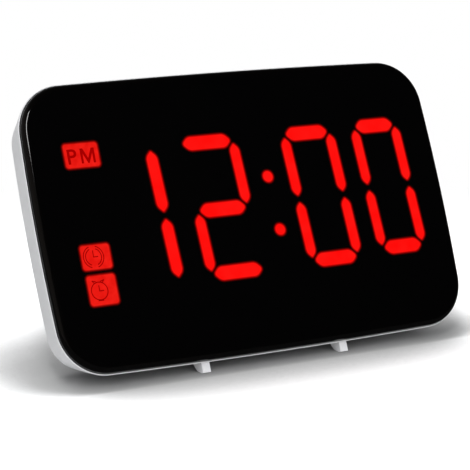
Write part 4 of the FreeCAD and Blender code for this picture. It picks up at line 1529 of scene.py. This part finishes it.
@dataclass(frozen=True)
class ButtonSigns:
    """The signs beside the buttons, each about its own middle."""

    stroke: float = 0.3
    thin_stroke: float = 0.26
    word_half: Point = (2.6, 1.0)
    letter_weight: float = 0.01
    arrow_half: float = 1.3
    arrow_base: float = 0.9
    arrow_tip: float = 1.3
    clock_radius: float = 1.35
    clock_steps: int = 32
    minute_hand: float = 0.75
    hour_hand: float = 0.55
    bell_inner: Point = (0.85, 1.6)
    bell_outer: Point = (1.5, 1.15)
    lamp_radius: float = 0.7
    ray_start: float = 1.15
    ray_end: float = 1.6
    rays: int = 8

    def word(self, text: str, half_x: float, half_z: float) -> Drawing:
        """A short word.

        Args:
            text: The word.
            half_x: Half its width.
            half_z: Half its height.

        Returns:
            The drawing.
        """
        drawing = Drawing()
        drawing.letters(text, (-half_x, -half_z), (half_x, half_z), self.letter_weight)
        return drawing

    def arrow(self, way: int) -> Drawing:
        """A filled triangle.

        Args:
            way: 1 where it points up, -1 where it points down.

        Returns:
            The drawing.
        """
        corners = [(-self.arrow_half, -way * self.arrow_base), (self.arrow_half, -way * self.arrow_base),
                   (0, way * self.arrow_tip)]
        drawing = Drawing()
        drawing.polygon(corners[::way])
        return drawing

    def alarm(self) -> Drawing:
        """A clock with two bells.

        Returns:
            The drawing.
        """
        drawing = Drawing()
        drawing.arc(self.clock_radius, self.stroke, 0, 360, self.clock_steps)
        drawing.hands(self.minute_hand, self.hour_hand, self.thin_stroke)
        (inner_x, inner_z), (outer_x, outer_z) = self.bell_inner, self.bell_outer
        for side in (-1, 1):
            drawing.line((side * inner_x, inner_z), (side * outer_x, outer_z), self.stroke)
        return drawing

    def lamp(self) -> Drawing:
        """A dot with rays all round.

        Returns:
            The drawing.
        """
        drawing = Drawing()
        drawing.disc(self.lamp_radius)
        for number in range(self.rays):
            turn = 2 * math.pi * number / self.rays
            way = Vector((math.cos(turn), math.sin(turn)))
            drawing.line(tuple(way * self.ray_start), tuple(way * self.ray_end), self.thin_stroke)
        return drawing

    def of(self, button: Button) -> Drawing:
        """The sign of a button.

        Args:
            button: The button.

        Returns:
            The drawing.
        """
        match button:
            case Button.SET:
                return self.word("SET", *self.word_half)
            case Button.UP:
                return self.arrow(1)
            case Button.DOWN:
                return self.arrow(-1)
            case Button.ALARM:
                return self.alarm()
            case Button.LIGHT:
                return self.lamp()


@dataclass(frozen=True)
class Controls:
    """The push buttons, the sound switch, and the marks beside them."""

    signs: ButtonSigns = ButtonSigns()
    flange: float = 1.0
    flange_height: float = 0.7
    dish: float = 0.3
    dish_margin: float = 0.3
    dish_steps: int = 5
    edge: float = 0.6
    edge_turns: tuple[int, ...] = (20, 40, 60, 80)
    sides: int = 56
    mark_height: float = 0.12
    mark_sink: float = 0.05
    mark_gap: float = 3.4
    switch_mark_rise: float = 5.9
    switch_letter_half: Point = (0.85, 0.9)
    knob_soft: float = 0.15

    def cap(self, button: Button) -> Mesh:
        """A round cap with a shallow dish and a flange inside.

        Args:
            button: The button.

        Returns:
            The cap's shape.
        """
        low, high = CASING.box(button.node)
        x, z = CASING.spot(button.node)
        wide, top, edge = (high.x - low.x) / 2, high.y - low.y, self.edge
        radius = wide - self.flange
        hollow = radius - edge - self.dish_margin
        shares = [step / self.dish_steps for step in range(self.dish_steps, -1, -1)]
        profile = [(0, 0), (wide, 0), (wide, self.flange_height), (radius, self.flange_height),
                   (radius, top - edge)]
        profile += [(radius - edge * (1 - math.cos(turn)), top - edge * (1 - math.sin(turn)))
                    for turn in map(math.radians, self.edge_turns)]
        profile += [(hollow * share, top - self.dish * (1 - share**2)) for share in shares]
        return turned(profile, (x, low.y, z), (0, 1, 0), self.sides)

    def mark(self, name: str, drawing: Drawing, x: float, z: float) -> None:
        """Prints a raised mark on the back.

        Args:
            name: What the mark belongs to.
            drawing: The mark about its own middle.
            x: Where its middle comes.
            z: Where its middle comes.
        """
        place = (x, CASE_DEPTH - self.mark_sink, z)
        mesh = drawing.stand(Side.BACK, place, self.mark_height + self.mark_sink)
        make_piece("mark_" + name, mesh, Dressing((Finish.MARK_GREY,), "black_parts"))

    def dress(self) -> None:
        """Makes the caps, the marks and the switch's knob."""
        for button in Button:
            dressing = Dressing((Finish.KEY_GREY,), "white_keys", button.body, (button.node,))
            make_piece("cap_" + button.value, self.cap(button), dressing)
            low, high = CASING.box(button.node)
            self.mark(button.value, self.signs.of(button), low.x - self.mark_gap, (low.z + high.z) / 2)
        make_piece("sound_knob_cap", softened_copy("sound_switch_knob", self.knob_soft, 2),
                   Dressing((Finish.KEY_GREY,), "white_keys", "sound_knob", ("sound_switch_knob",)))
        letter_x, letter_z = self.switch_letter_half
        for text, rise in (("ON", self.switch_mark_rise), ("OFF", -self.switch_mark_rise)):
            word = self.signs.word(text, letter_x * len(text), letter_z)
            self.mark("switch_" + text.lower(), word, COLUMN_X, SWITCH_Z + rise)


# ---- what the rear shell is made of -------------------------------------------------------------
@dataclass(frozen=True)
class BatteryBay:
    """The bay for the cells, with a wider seat for its door."""

    half: float = 25.0
    low: float = -31.5
    high: float = 2.5
    floor: float = 10.9
    wall: float = 2.0
    bottom: float = 1.0
    door_seat: float = 22.4
    door_half: float = 26.75
    door_low: float = -33.25
    door_high: float = 2.75

    def walls(self, back: float) -> Mesh:
        """The block that the bay is hollowed out of, which ends at a depth."""
        return block((-self.half - self.wall, self.floor - self.bottom, self.low - self.wall),
                     (self.half + self.wall, back, self.high + self.wall))

    def hollows(self, end: float) -> list[Mesh]:
        """What is cut out, which ends at a depth.

        Args:
            end: The depth.

        Returns:
            The room for the cells and the wider room for the door.
        """
        cells = block((-self.half, self.floor, self.low), (self.half, end, self.high))
        door = block((-self.door_half, self.door_seat, self.door_low),
                     (self.door_half, end, self.door_high))
        return [cells, door]


@dataclass(frozen=True)
class StandGroove:
    """The groove that the stand folds into: a U with a pocket for each hinge.

    What cuts an arm overlaps what cuts the bar, and the block that an arm is cut into ends a step
    before the bar's.
    """

    outer: float = 35.4
    inner: float = 29.6
    low: float = -39.9
    bar_top: float = -35.1
    front: float = 20.6
    pivot_z: float = 10.0
    pocket_front: float = 19.2
    pocket_rise: float = 2.6
    wall: float = 1.6
    corner: float = 4.4
    corner_steps: int = 8
    overlap: float = 0.5
    arm_step: float = 0.1

    def arm(self, side: int, grown: float = 0.0) -> Point:
        """The lower and higher x of the left (-1) or right (1) arm, grown by a margin."""
        first, second = sorted((side * (self.inner - grown), side * (self.outer + grown)))
        return first, second

    def walls(self, back: float) -> list[Mesh]:
        """The blocks that the groove is cut into.

        Args:
            back: The depth that they end at.

        Returns:
            The bar's block and the two arms' blocks.
        """
        grown, front = self.wall, self.front - self.wall
        solids = [block((-self.outer - grown, front, self.low - grown),
                        (self.outer + grown, back, self.bar_top + grown))]
        for side in (-1, 1):
            first, second = self.arm(side, grown)
            top = self.pivot_z + self.pocket_rise + grown
            solids.append(block((first, front, self.low), (second, back - self.arm_step, top)))
        return solids

    def hollows(self, end: float) -> list[Mesh]:
        """What is cut out for the stand.

        Args:
            end: The depth that it ends at.

        Returns:
            The bar, the two arms and their hinges' pockets.
        """
        bar = block((-self.outer, self.front, self.low), (self.outer, end, self.bar_top))
        bends = [edge for edge in deep_edges(bar) if edge.verts[0].co.z < self.low + WELD]
        round_edges(bar, bends, self.corner, self.corner_steps)
        tools = [bar]
        for side in (-1, 1):
            first, second = self.arm(side)
            arm = block((first, self.front, self.bar_top - self.overlap), (second, end, self.pivot_z))
            pocket = block((first, self.pocket_front, self.pivot_z - self.pocket_rise),
                           (second, end, self.pivot_z + self.pocket_rise))
            tools += [arm, pocket]
        return tools


@dataclass(frozen=True)
class FrontFeet:
    """Two feet under the front edge, flat in front and rounded underneath."""

    x: float = 25.5
    width: float = 2.8
    length: float = 5.6
    setback: float = 4.0
    drop: float = 3.0
    overlap: float = 1.1
    steps: int = 10

    def solids(self, edge: float, behind: float) -> list[Mesh]:
        """The feet.

        Args:
            edge: The height of the casing's lower edge where it is lowest.
            behind: The height of its underside at the depth where the feet end.

        Returns:
            Their two shapes.
        """
        bottom, rise = edge - self.drop, behind - edge + self.drop
        radius = (self.length**2 + rise**2) / (2 * rise)
        feet = []
        for middle in (-self.x, self.x):
            mesh = bmesh.new()
            x = middle - self.width / 2
            start = mesh.verts.new((x, self.setback, bottom))
            bmesh.ops.spin(mesh, geom=[start], cent=(x, self.setback, bottom + radius), axis=(1, 0, 0),
                           angle=math.asin(self.length / radius), steps=self.steps)
            curve = sorted(mesh.verts, key=lambda v: v.co.y)
            back = mesh.verts.new((x, self.setback + self.length, behind + self.overlap))
            front = mesh.verts.new((x, self.setback, edge + self.overlap))
            mesh.faces.new([*curve, back, front])
            thicken(mesh, (self.width, 0, 0))
            feet.append(mesh)
        return feet


@dataclass(frozen=True)
class CaseScrews:
    """Four screws at the bottom of their holes in the back, each in a boss of the shell."""

    x: float = 57.0
    z: float = 33.0
    head_y: float = 17.0
    head_radius: float = 2.5
    head_height: float = 1.6
    shank_radius: float = 1.3
    length: float = 11.0
    point: float = 0.5
    recess_reach: float = 1.45
    recess_half: float = 0.3
    recess_depth: float = 0.9
    sides: int = 40
    hole_radius: float = 2.8
    boss_radius: float = 4.5
    boss_front: float = 12.0

    # The head's dome, as shares of its radius and of its height.
    DOME: ClassVar[tuple[Point, ...]] = ((1, 0.45), (0.94, 0.68), (0.8, 0.86), (0.55, 0.96), (0, 1))

    def spots(self) -> list[Point]:
        """The x and z of each screw."""
        return [(side * self.x, rise * self.z) for side in (-1, 1) for rise in (-1, 1)]

    def bosses(self, back: float) -> list[Mesh]:
        """The bosses that the screws go through, which end at a depth."""
        return [rod((x, self.boss_front, z), (x, back, z), self.boss_radius) for x, z in self.spots()]

    def holes(self, end: float) -> list[Mesh]:
        """What is cut out behind the screws' heads, as far as a depth."""
        return [rod((x, self.head_y, z), (x, end, z), self.hole_radius) for x, z in self.spots()]

    def screw(self, x: float, z: float) -> Mesh:
        """One screw with a domed head and a cross recess.

        Args:
            x: Where it stands.
            z: Where it stands.

        Returns:
            The screw's shape.
        """
        profile = [(0, -self.length), (self.shank_radius, self.point - self.length), (self.shank_radius, 0),
                   (self.head_radius, 0)]
        profile += [(self.head_radius * wide, self.head_height * high) for wide, high in self.DOME]
        carving = Carving(turned(profile, (x, self.head_y, z), (0, 1, 0), self.sides))
        top = self.head_y + self.head_height
        for long, short in ((self.recess_reach, self.recess_half), (self.recess_half, self.recess_reach)):
            carving.work(Carve.CUT, block((x - long, top - self.recess_depth, z - short),
                                          (x + long, top + OVERCUT, z + short)))
        return carving.done()

    def dress(self) -> None:
        """Makes the four screws as one piece."""
        whole = bmesh.new()
        for x, z in self.spots():
            join(whole, self.screw(x, z))
        make_piece("case_screw_set", whole, Dressing((Finish.STEEL,), "steel", stands_for=("case_screws",)))


# ---- rear shell ---------------------------------------------------------------------------------
@dataclass(frozen=True)
class RearShell:
    """The white moulded shell with its feet, battery bay, stand groove and openings."""

    outline: Outline
    bay: BatteryBay = BatteryBay()
    groove: StandGroove = StandGroove()
    feet: FrontFeet = FrontFeet()
    screws: CaseScrews = CaseScrews()
    switch_slot: Slot = Slot(COLUMN_X, SWITCH_Z, 3.2, 6.8, 0.3, 3)
    socket_slot: Slot = Slot(COLUMN_X, -22.0, 8.4, 3.6, 1.1, 6)
    sound_slot: Slot = Slot(COLUMN_X, 5.25, 12.0, 1.2, 0.59, 8)
    sound_rows: int = 5
    sound_pitch: float = 3.6
    button_gap: float = 0.25
    button_sides: int = 48
    lip_width: float = 0.22
    lip_round: float = 0.066
    lip_front: float = 2.6
    seat: float = 3.0
    land_back: float = 3.4
    side_wall: float = 2.2
    back_wall: float = 2.0
    back_overlap: float = 0.5
    draft: float = 15.0
    back_round: float = 8.0
    round_steps: int = 14
    inner_bevel: float = 4.0
    edge_soft: float = 0.3
    skin_margin: float = 0.8
    skin_steps: int = 6
    ground_reach: float = 0.2
    ground_depth: float = 0.1

    def side_inset(self, y: float) -> float:
        """How far the outer side has leaned in at a depth."""
        return max(0.0, y - self.land_back) * math.tan(math.radians(self.draft))

    def profile(self) -> list[Point]:
        """The shell's section, from the middle of its back round its rim to the inside of its back.

        Returns:
            The (inset, depth) of each of its points.
        """
        lean, tangent = math.radians(self.draft), CASE_DEPTH - self.back_round
        reach = (tangent - self.land_back + self.back_round * math.sin(lean)) / math.cos(lean)
        centre = (reach * math.sin(lean) + self.back_round * math.cos(lean), tangent)
        inner_back, inner_shift = CASE_DEPTH - self.back_wall, self.land_back - self.seat
        wall_end = inner_back - self.inner_bevel
        wall_foot = self.side_wall + self.side_inset(wall_end + inner_shift)
        inner_corner = self.side_wall + self.side_inset(inner_back + inner_shift)
        rounded, middle = self.lip_round, self.lip_round * ROUND_MIDDLE
        outside = quarter(centre, self.back_round, 90, self.draft, self.round_steps)
        lip = [(0, self.land_back), (0, self.lip_front + rounded), (middle, self.lip_front + middle),
               (rounded, self.lip_front), (self.lip_width, self.lip_front), (self.lip_width, self.seat)]
        inside = [(self.side_wall, self.seat), (wall_foot, wall_end),
                  (inner_corner + self.inner_bevel, inner_back)]
        return outside + lip + inside

    def inside_skin(self, solid: Mesh) -> Mesh:
        """Keeps a solid within the shell's skin.

        Args:
            solid: The solid, which is used up.

        Returns:
            What is left of it.
        """
        lean, tangent = math.radians(self.draft), CASE_DEPTH - self.back_round
        foot = self.skin_margin + self.side_inset(tangent)
        centre = (foot + self.back_round * math.cos(lean), tangent - self.skin_margin)
        rounded = quarter(centre, self.back_round, self.draft, 90, self.skin_steps)
        trim = Carving(solid)
        trim.work(Carve.KEEP, self.outline.solid([(self.skin_margin, self.seat)] + rounded))
        return trim.done()

    def moulded_on(self) -> list[Mesh]:
        """What is moulded on to the plain shell.

        Returns:
            The bay, the groove's walls, the screws' bosses and the feet.
        """
        back = CASE_DEPTH - self.back_wall + self.back_overlap
        trimmed = [self.inside_skin(solid) for solid in self.groove.walls(back) + self.screws.bosses(back)]
        edge = -self.outline.height / 2
        behind = edge + self.side_inset(self.feet.setback + self.feet.length)
        return [self.bay.walls(back), *trimmed, *self.feet.solids(edge, behind)]

    def openings(self) -> list[Mesh]:
        """What is cut through the back for the controls.

        Returns:
            The holes for the buttons, the switch, the socket and the sound.
        """
        start, end = CASE_DEPTH - self.back_wall - OVERCUT, CASE_DEPTH + OVERCUT
        tools = []
        for button in Button:
            low, high = CASING.box(button.node)
            x, z = CASING.spot(button.node)
            radius = (high.x - low.x) / 2 - Controls.flange + self.button_gap
            tools.append(rod((x, start, z), (x, end, z), radius, self.button_sides))
        slots = [self.switch_slot, self.socket_slot]
        lowest = self.sound_slot.z - self.sound_pitch * (self.sound_rows - 1) / 2
        for row in range(self.sound_rows):
            slots.append(replace(self.sound_slot, z=lowest + self.sound_pitch * row))
        return tools + [slot.tool(start, end) for slot in slots]

    def ground(self) -> Mesh:
        """What cuts the feet flat.

        Returns:
            A block whose top is the floor, in casing millimetres.
        """
        reach = self.ground_reach
        mesh = block((-reach, -reach, -self.ground_depth), (reach, reach, 0.0))
        bmesh.ops.transform(mesh, matrix=CASING.matrix().inverted(), verts=mesh.verts)
        return mesh

    def build(self) -> Mesh:
        """Makes the shell's shape.

        Returns:
            The whole shell.
        """
        end = CASE_DEPTH + OVERCUT
        carving = Carving(self.outline.solid(self.profile()))
        for solid in self.moulded_on():
            carving.work(Carve.ADD, solid)
        for tool in (*self.groove.hollows(end), *self.bay.hollows(end), *self.openings(),
                     *self.screws.holes(end), self.ground()):
            carving.work(Carve.CUT, tool)
        mesh = carving.done()
        soften(mesh, self.edge_soft, depth=CASE_DEPTH)
        return mesh

    def dress(self) -> None:
        """Makes the piece."""
        dressing = Dressing((Finish.WHITE_SHELL,), "white_shell", stands_for=("rear_shell",))
        keep_flats_flat(make_piece("moulded_shell", self.build(), dressing))


# ---- stand and door -----------------------------------------------------------------------------
@dataclass(frozen=True)
class Stand:
    """The fold-out stand."""

    soft: float = 0.35

    def dress(self) -> None:
        """Makes the piece from the stand's own shape."""
        dressing = Dressing((Finish.WHITE_STAND,), "white_shell", "stand", ("stand_bail",))
        keep_flats_flat(make_piece("stand_frame", softened_copy("stand_bail", self.soft), dressing))


@dataclass(frozen=True)
class BatteryDoor:
    """The battery door with the ribs that a thumb pushes."""

    soft: float = 0.25
    soft_steps: int = 2
    rib_count: int = 5
    rib_pitch: float = 1.3
    rib_half: float = 4.2
    rib_height: float = 0.35
    rib_width: float = 0.5
    rib_first: float = 2.2
    rib_soft: float = 0.16
    rib_steps: int = 3

    def ribs(self) -> Mesh:
        """Makes the ribs.

        Returns:
            Raised ribs on the latch tongue.
        """
        low, high = CASING.box("battery_door")
        size = Matrix.Diagonal((2 * self.rib_half, 2 * self.rib_height, self.rib_width, 1))
        mesh = bmesh.new()
        for number in range(self.rib_count):
            z = low.z + self.rib_first + number * self.rib_pitch
            bmesh.ops.create_cube(mesh, size=1, matrix=Matrix.Translation((0, high.y, z)) @ size)
        soften(mesh, self.rib_soft, self.rib_steps)
        return mesh

    def dress(self) -> None:
        """Makes the door and its ribs."""
        door = softened_copy("battery_door", self.soft, self.soft_steps)
        dressing = Dressing((Finish.WHITE_SHELL,), "white_shell", "door", ("battery_door",))
        keep_flats_flat(make_piece("battery_cover", door, dressing))
        ribs_dressing = Dressing((Finish.WHITE_SHELL,), "white_shell", "door")
        make_piece("battery_cover_ribs", self.ribs(), ribs_dressing)


# ---- cells and inner parts ----------------------------------------------------------------------
@dataclass(frozen=True)
class Cells:
    """The three cells, each with a sleeve, a coloured end and metal ends."""

    count: int = 3
    shoulder: float = 0.6
    minus_rise: float = 0.05
    band: float = 10.0
    tip_height: float = 1.0
    tip_side: float = 0.8
    tip_radius: float = 1.9
    tip_face: float = 1.6
    sides: int = 48

    def profile(self, radius: float, body: float) -> list[Point]:
        """A cell's section, from its minus end to its plus tip.

        Args:
            radius: The cell's radius.
            body: Its length without the tip.

        Returns:
            The points of the section.
        """
        soft, middle = self.shoulder, self.shoulder * ROUND_MIDDLE
        return [(0, 0), (radius - 2 * soft, 0), (radius - soft, self.minus_rise), (radius - middle, middle),
                (radius, soft), (radius, body - self.band), (radius, body - soft),
                (radius - middle, body - middle), (radius - soft, body), (self.tip_radius, body),
                (self.tip_radius, body + self.tip_side), (self.tip_face, body + self.tip_height),
                (0, body + self.tip_height)]

    def build(self, number: int, node: str) -> Mesh:
        """One cell, with its faces told apart; every second cell points the other way.

        Args:
            number: Which cell it is, from 1.
            node: Its CAD node.

        Returns:
            The shape, with material 0 on its sleeve, 1 on its band and 2 on its ends.
        """
        low, high = CASING.box(node)
        y, z = (low.y + high.y) / 2, (low.z + high.z) / 2
        start, way = (low.x, 1) if number % 2 == 1 else (high.x, -1)
        body = high.x - low.x - self.tip_height
        metal = self.shoulder * ROUND_MIDDLE
        mesh = turned(self.profile((high.z - low.z) / 2, body), (start, y, z), (way, 0, 0), self.sides)
        for face in mesh.faces:
            along = (face.calc_center_median().x - start) * way
            if along < metal or along > body - metal:
                face.material_index = 2
            elif along > body - self.band:
                face.material_index = 1
        return mesh

    def dress(self) -> None:
        """Makes the cells."""
        finishes = (Finish.CELL_SLEEVE, Finish.CELL_BAND, Finish.CELL_END)
        for number in range(1, self.count + 1):
            node = f"aaa_cell_{number}"
            make_piece(f"cell_{number}", self.build(number, node),
                       Dressing(finishes, "cell_wrap", stands_for=(node,)))


class InnerParts:
    """The CAD nodes that keep their shape and get a finish."""

    FINISHES: ClassVar[dict[Finish, tuple[str, ...]]] = {
        Finish.FRAME_BLACK: ("front_frame",),
        Finish.WELL_DARK: ("display_reflector",),
        Finish.GUIDE_RED: ("digit_hours_tens", "digit_hours_units", "digit_minutes_tens",
                           "digit_minutes_units", "colon_dots", "badge_pm", "badge_sound", "badge_alarm"),
        Finish.BOARD: ("display_board", "main_board"),
        Finish.LED_BODY: ("display_leds",),
        Finish.BLACK_PART: ("controller_chip", "board_header", "buzzer", "tact_switches",
                            "sound_switch_body"),
        Finish.CONTACT: ("battery_contacts_plus", "battery_contacts_minus", "power_socket", "microphone"),
        Finish.STEEL: ("display_screws", "board_screws", "stand_pins"),
    }

    def dress(self) -> None:
        """Gives each node its finish."""
        for finish, nodes in self.FINISHES.items():
            for node in nodes:
                dress_node(node, finish)
            LOG.info("%s: %s", finish.name.lower(), ", ".join(nodes))


# ---- studio -------------------------------------------------------------------------------------
@dataclass(frozen=True)
class Lamp:
    """One soft rectangular lamp: where it hangs, its sides, its watts and whether gloss shows it."""

    name: str
    place: Place
    size: Point
    power: float
    mirrored: bool = True


@dataclass(frozen=True)
class Studio:
    """A white floor, soft light from above and the camera.

    The floor's painted shade and what the surround mirrors are ramps: pairs of a value and a level.
    """

    yaw: float = 30.20
    elevation: float = 11.67
    across: float = 5.66
    up: float = 8.53
    distance: float = 643.21
    focal_length: float = 154.3
    sensor_width: float = 36.0
    clip_start: float = 0.01
    floor_size: float = 3.0
    floor_colour: Colour = (0.9, 0.9, 0.9)
    # Painted shade: in reflections the white floor takes this dark colour, standing in for its shade near
    # the clock.
    mirrored_floor_painted_shade: Colour = (0.04, 0.04, 0.04)
    # Painted shade: to the camera, the floor's colour darkens near the clock along a ramp of its ambient
    # occlusion, on top of the lamps' real shadows.
    shade_reach: float = 0.07
    shade_samples: int = 32
    shade: tuple[Point, ...] = ((0.0, 0.16), (0.2, 0.22), (0.47, 0.27), (0.68, 0.34), (0.755, 0.48),
                                (0.81, 0.68), (0.86, 0.86), (0.92, 1.0))
    seen_floor_level: float = 1.3
    fade_start: float = 0.14
    fade_end: float = 0.3
    aim: Place = (0.0, 0.0, 0.05)
    lamps: tuple[Lamp, ...] = (
        Lamp("overhead", (-0.2, 0.3, 1.1), (0.7, 0.7), 5.5, False),
        Lamp("front_fill", (0.1, -1.1, 0.5), (0.9, 0.6), 3.4, False),
        Lamp("edge_light", (-0.4, -0.57, 0.77), (0.14, 0.46), 3.2),
    )
    dome: Colour = (0.47, 0.475, 0.48)
    mirrored_left: tuple[Point, ...] = ((0.0, 0.0), (0.35, 0.0), (0.6, 0.1), (0.9, 0.14))
    mirrored_back: tuple[Point, ...] = ((0.0, 0.0), (0.3, 0.02), (0.92, 0.12), (0.985, 0.6))
    mirrored_tint: Colour = (1.0, 0.88, 0.8)

    def camera(self) -> None:
        """Places the camera in front of the clock's left side, a little above it."""
        turn, rise = math.radians(self.yaw), math.radians(self.elevation)
        right = Vector((math.cos(turn), -math.sin(turn), 0))
        ahead = Vector((math.sin(turn) * math.cos(rise), math.cos(turn) * math.cos(rise), -math.sin(rise)))
        above = Vector((math.sin(turn) * math.sin(rise), math.cos(turn) * math.sin(rise), math.cos(rise)))
        face = CASING.matrix().to_translation()
        place = face - (right * self.across + above * self.up + ahead * self.distance) * MILLIMETRE
        data = bpy.data.cameras.new("camera")
        data.lens = self.focal_length
        data.sensor_width = self.sensor_width
        data.clip_start = self.clip_start
        camera = bpy.data.objects.new("camera", data)
        axes = Matrix((right, above, -ahead)).transposed().to_4x4()
        camera.matrix_world = Matrix.Translation(place) @ axes
        bpy.context.scene.collection.objects.link(camera)
        bpy.context.scene.camera = camera

    def floor(self) -> None:
        """A plain white floor that keeps the clock's real shadow, deepened near it by painted shade, and is
        pure white further off.
        """
        mesh = bmesh.new()
        bmesh.ops.create_grid(mesh, x_segments=1, y_segments=1, size=self.floor_size / 2)
        data = bpy.data.meshes.new("floor")
        mesh.to_mesh(data)
        mesh.free()
        data.materials.append(self.floor_material())
        floor = bpy.data.objects.new("floor", data)
        bpy.context.scene.collection.objects.link(floor)

    def floor_material(self) -> bpy.types.Material:
        """White card: lit by the lamps and darkened near the clock by painted shade, plain white to the
        camera beyond it, and painted dark in reflections.

        Returns:
            The material.
        """
        material = bpy.data.materials.new("studio_floor")
        material.use_nodes = True
        card = Wiring(material.node_tree)
        card.tree.nodes.clear()
        rays = card.node("LightPath").outputs
        # Painted shade: reflections see the floor dark instead of white.
        hidden = card.mix(rays["Is Glossy Ray"], rgba(self.floor_colour), rgba(self.mirrored_floor_painted_shade))
        # Painted shade: the colour the camera sees darkens near the clock with the floor's ambient
        # occlusion.
        opened = card.node("AmbientOcclusion", {"Distance": self.shade_reach}, samples=self.shade_samples)
        near = card.ramp(opened.outputs["AO"],
                         [(place, level * self.seen_floor_level) for place, level in self.shade])
        lit = card.node("BsdfDiffuse", {"Color": card.mix(rays["Is Camera Ray"], hidden, near)})
        spot = card.node("TexCoord").outputs["Object"]
        away = card.node("VectorMath", {0: spot}, operation="LENGTH").outputs["Value"]
        faded = card.node("MapRange", {"Value": away, "From Min": self.fade_start,
                                       "From Max": self.fade_end}, interpolation_type="SMOOTHSTEP")
        far = card.math("MULTIPLY", faded.outputs["Result"], rays["Is Camera Ray"])
        mixed = card.node("MixShader", {0: far, 1: lit.outputs[0], 2: card.node("Emission").outputs[0]})
        card.node("OutputMaterial", {"Surface": mixed.outputs[0]})
        return material

    def world(self) -> None:
        """A white surround to look at, and a dimmer dome to be lit by and mirrored."""
        world = bpy.data.worlds.new("studio")
        bpy.context.scene.world = world
        world.use_nodes = True
        sky = Wiring(world.node_tree)
        sky.tree.nodes.clear()
        rays = sky.node("LightPath").outputs
        way = sky.node("SeparateXYZ", {0: sky.node("TexCoord").outputs["Generated"]}).outputs
        left = sky.ramp(sky.math("MULTIPLY", way["X"], -1.0), self.mirrored_left, self.mirrored_tint)
        back = sky.ramp(way["Y"], self.mirrored_back)
        around = sky.mix(rays["Is Glossy Ray"], rgba(self.dome), sky.mix(1.0, left, back, "ADD"))
        seen = sky.mix(rays["Is Camera Ray"], around, rgba(WHITE))
        background = sky.node("Background", {"Color": seen})
        sky.node("OutputWorld", {"Surface": background.outputs[0]})

    def hang(self, lamp: Lamp) -> None:
        """Hangs one soft lamp, aimed at the clock.

        Args:
            lamp: The lamp.
        """
        data = bpy.data.lights.new(lamp.name, "AREA")
        data.shape = "RECTANGLE"
        data.size, data.size_y = lamp.size
        data.energy = lamp.power
        hung = bpy.data.objects.new(lamp.name, data)
        way = Vector(self.aim) - Vector(lamp.place)
        turn = way.to_track_quat("-Z", "Y").to_matrix().to_4x4()
        hung.matrix_world = Matrix.Translation(lamp.place) @ turn
        hung.visible_glossy = lamp.mirrored
        bpy.context.scene.collection.objects.link(hung)

    def build(self) -> None:
        """Sets up the whole studio."""
        bpy.context.scene.view_settings.view_transform = "Standard"
        self.camera()
        self.floor()
        self.world()
        for lamp in self.lamps:
            self.hang(lamp)


def main() -> None:
    """Sets up the studio, then builds and dresses the clock in it."""
    logging.basicConfig(level=logging.INFO, format="%(name)s %(message)s")
    lens_low, lens_high = CASING.box("front_lens")
    margin = 2 * FrontLens.inset
    outline = Outline(lens_high.x - lens_low.x + margin, lens_high.z - lens_low.z + margin)
    LOG.info("casing %.2f by %.2f mm, leaning %.2f degrees", outline.width, outline.height,
             math.degrees(CASING.lean()))
    parts = (FrontLens(outline), LitDisplay(), RearShell(outline), Stand(), BatteryDoor(), Controls(),
             CaseScrews(), Cells(), InnerParts())
    Studio().build()
    for part in parts:
        part.dress()


if __name__ == "__main__":
    main()
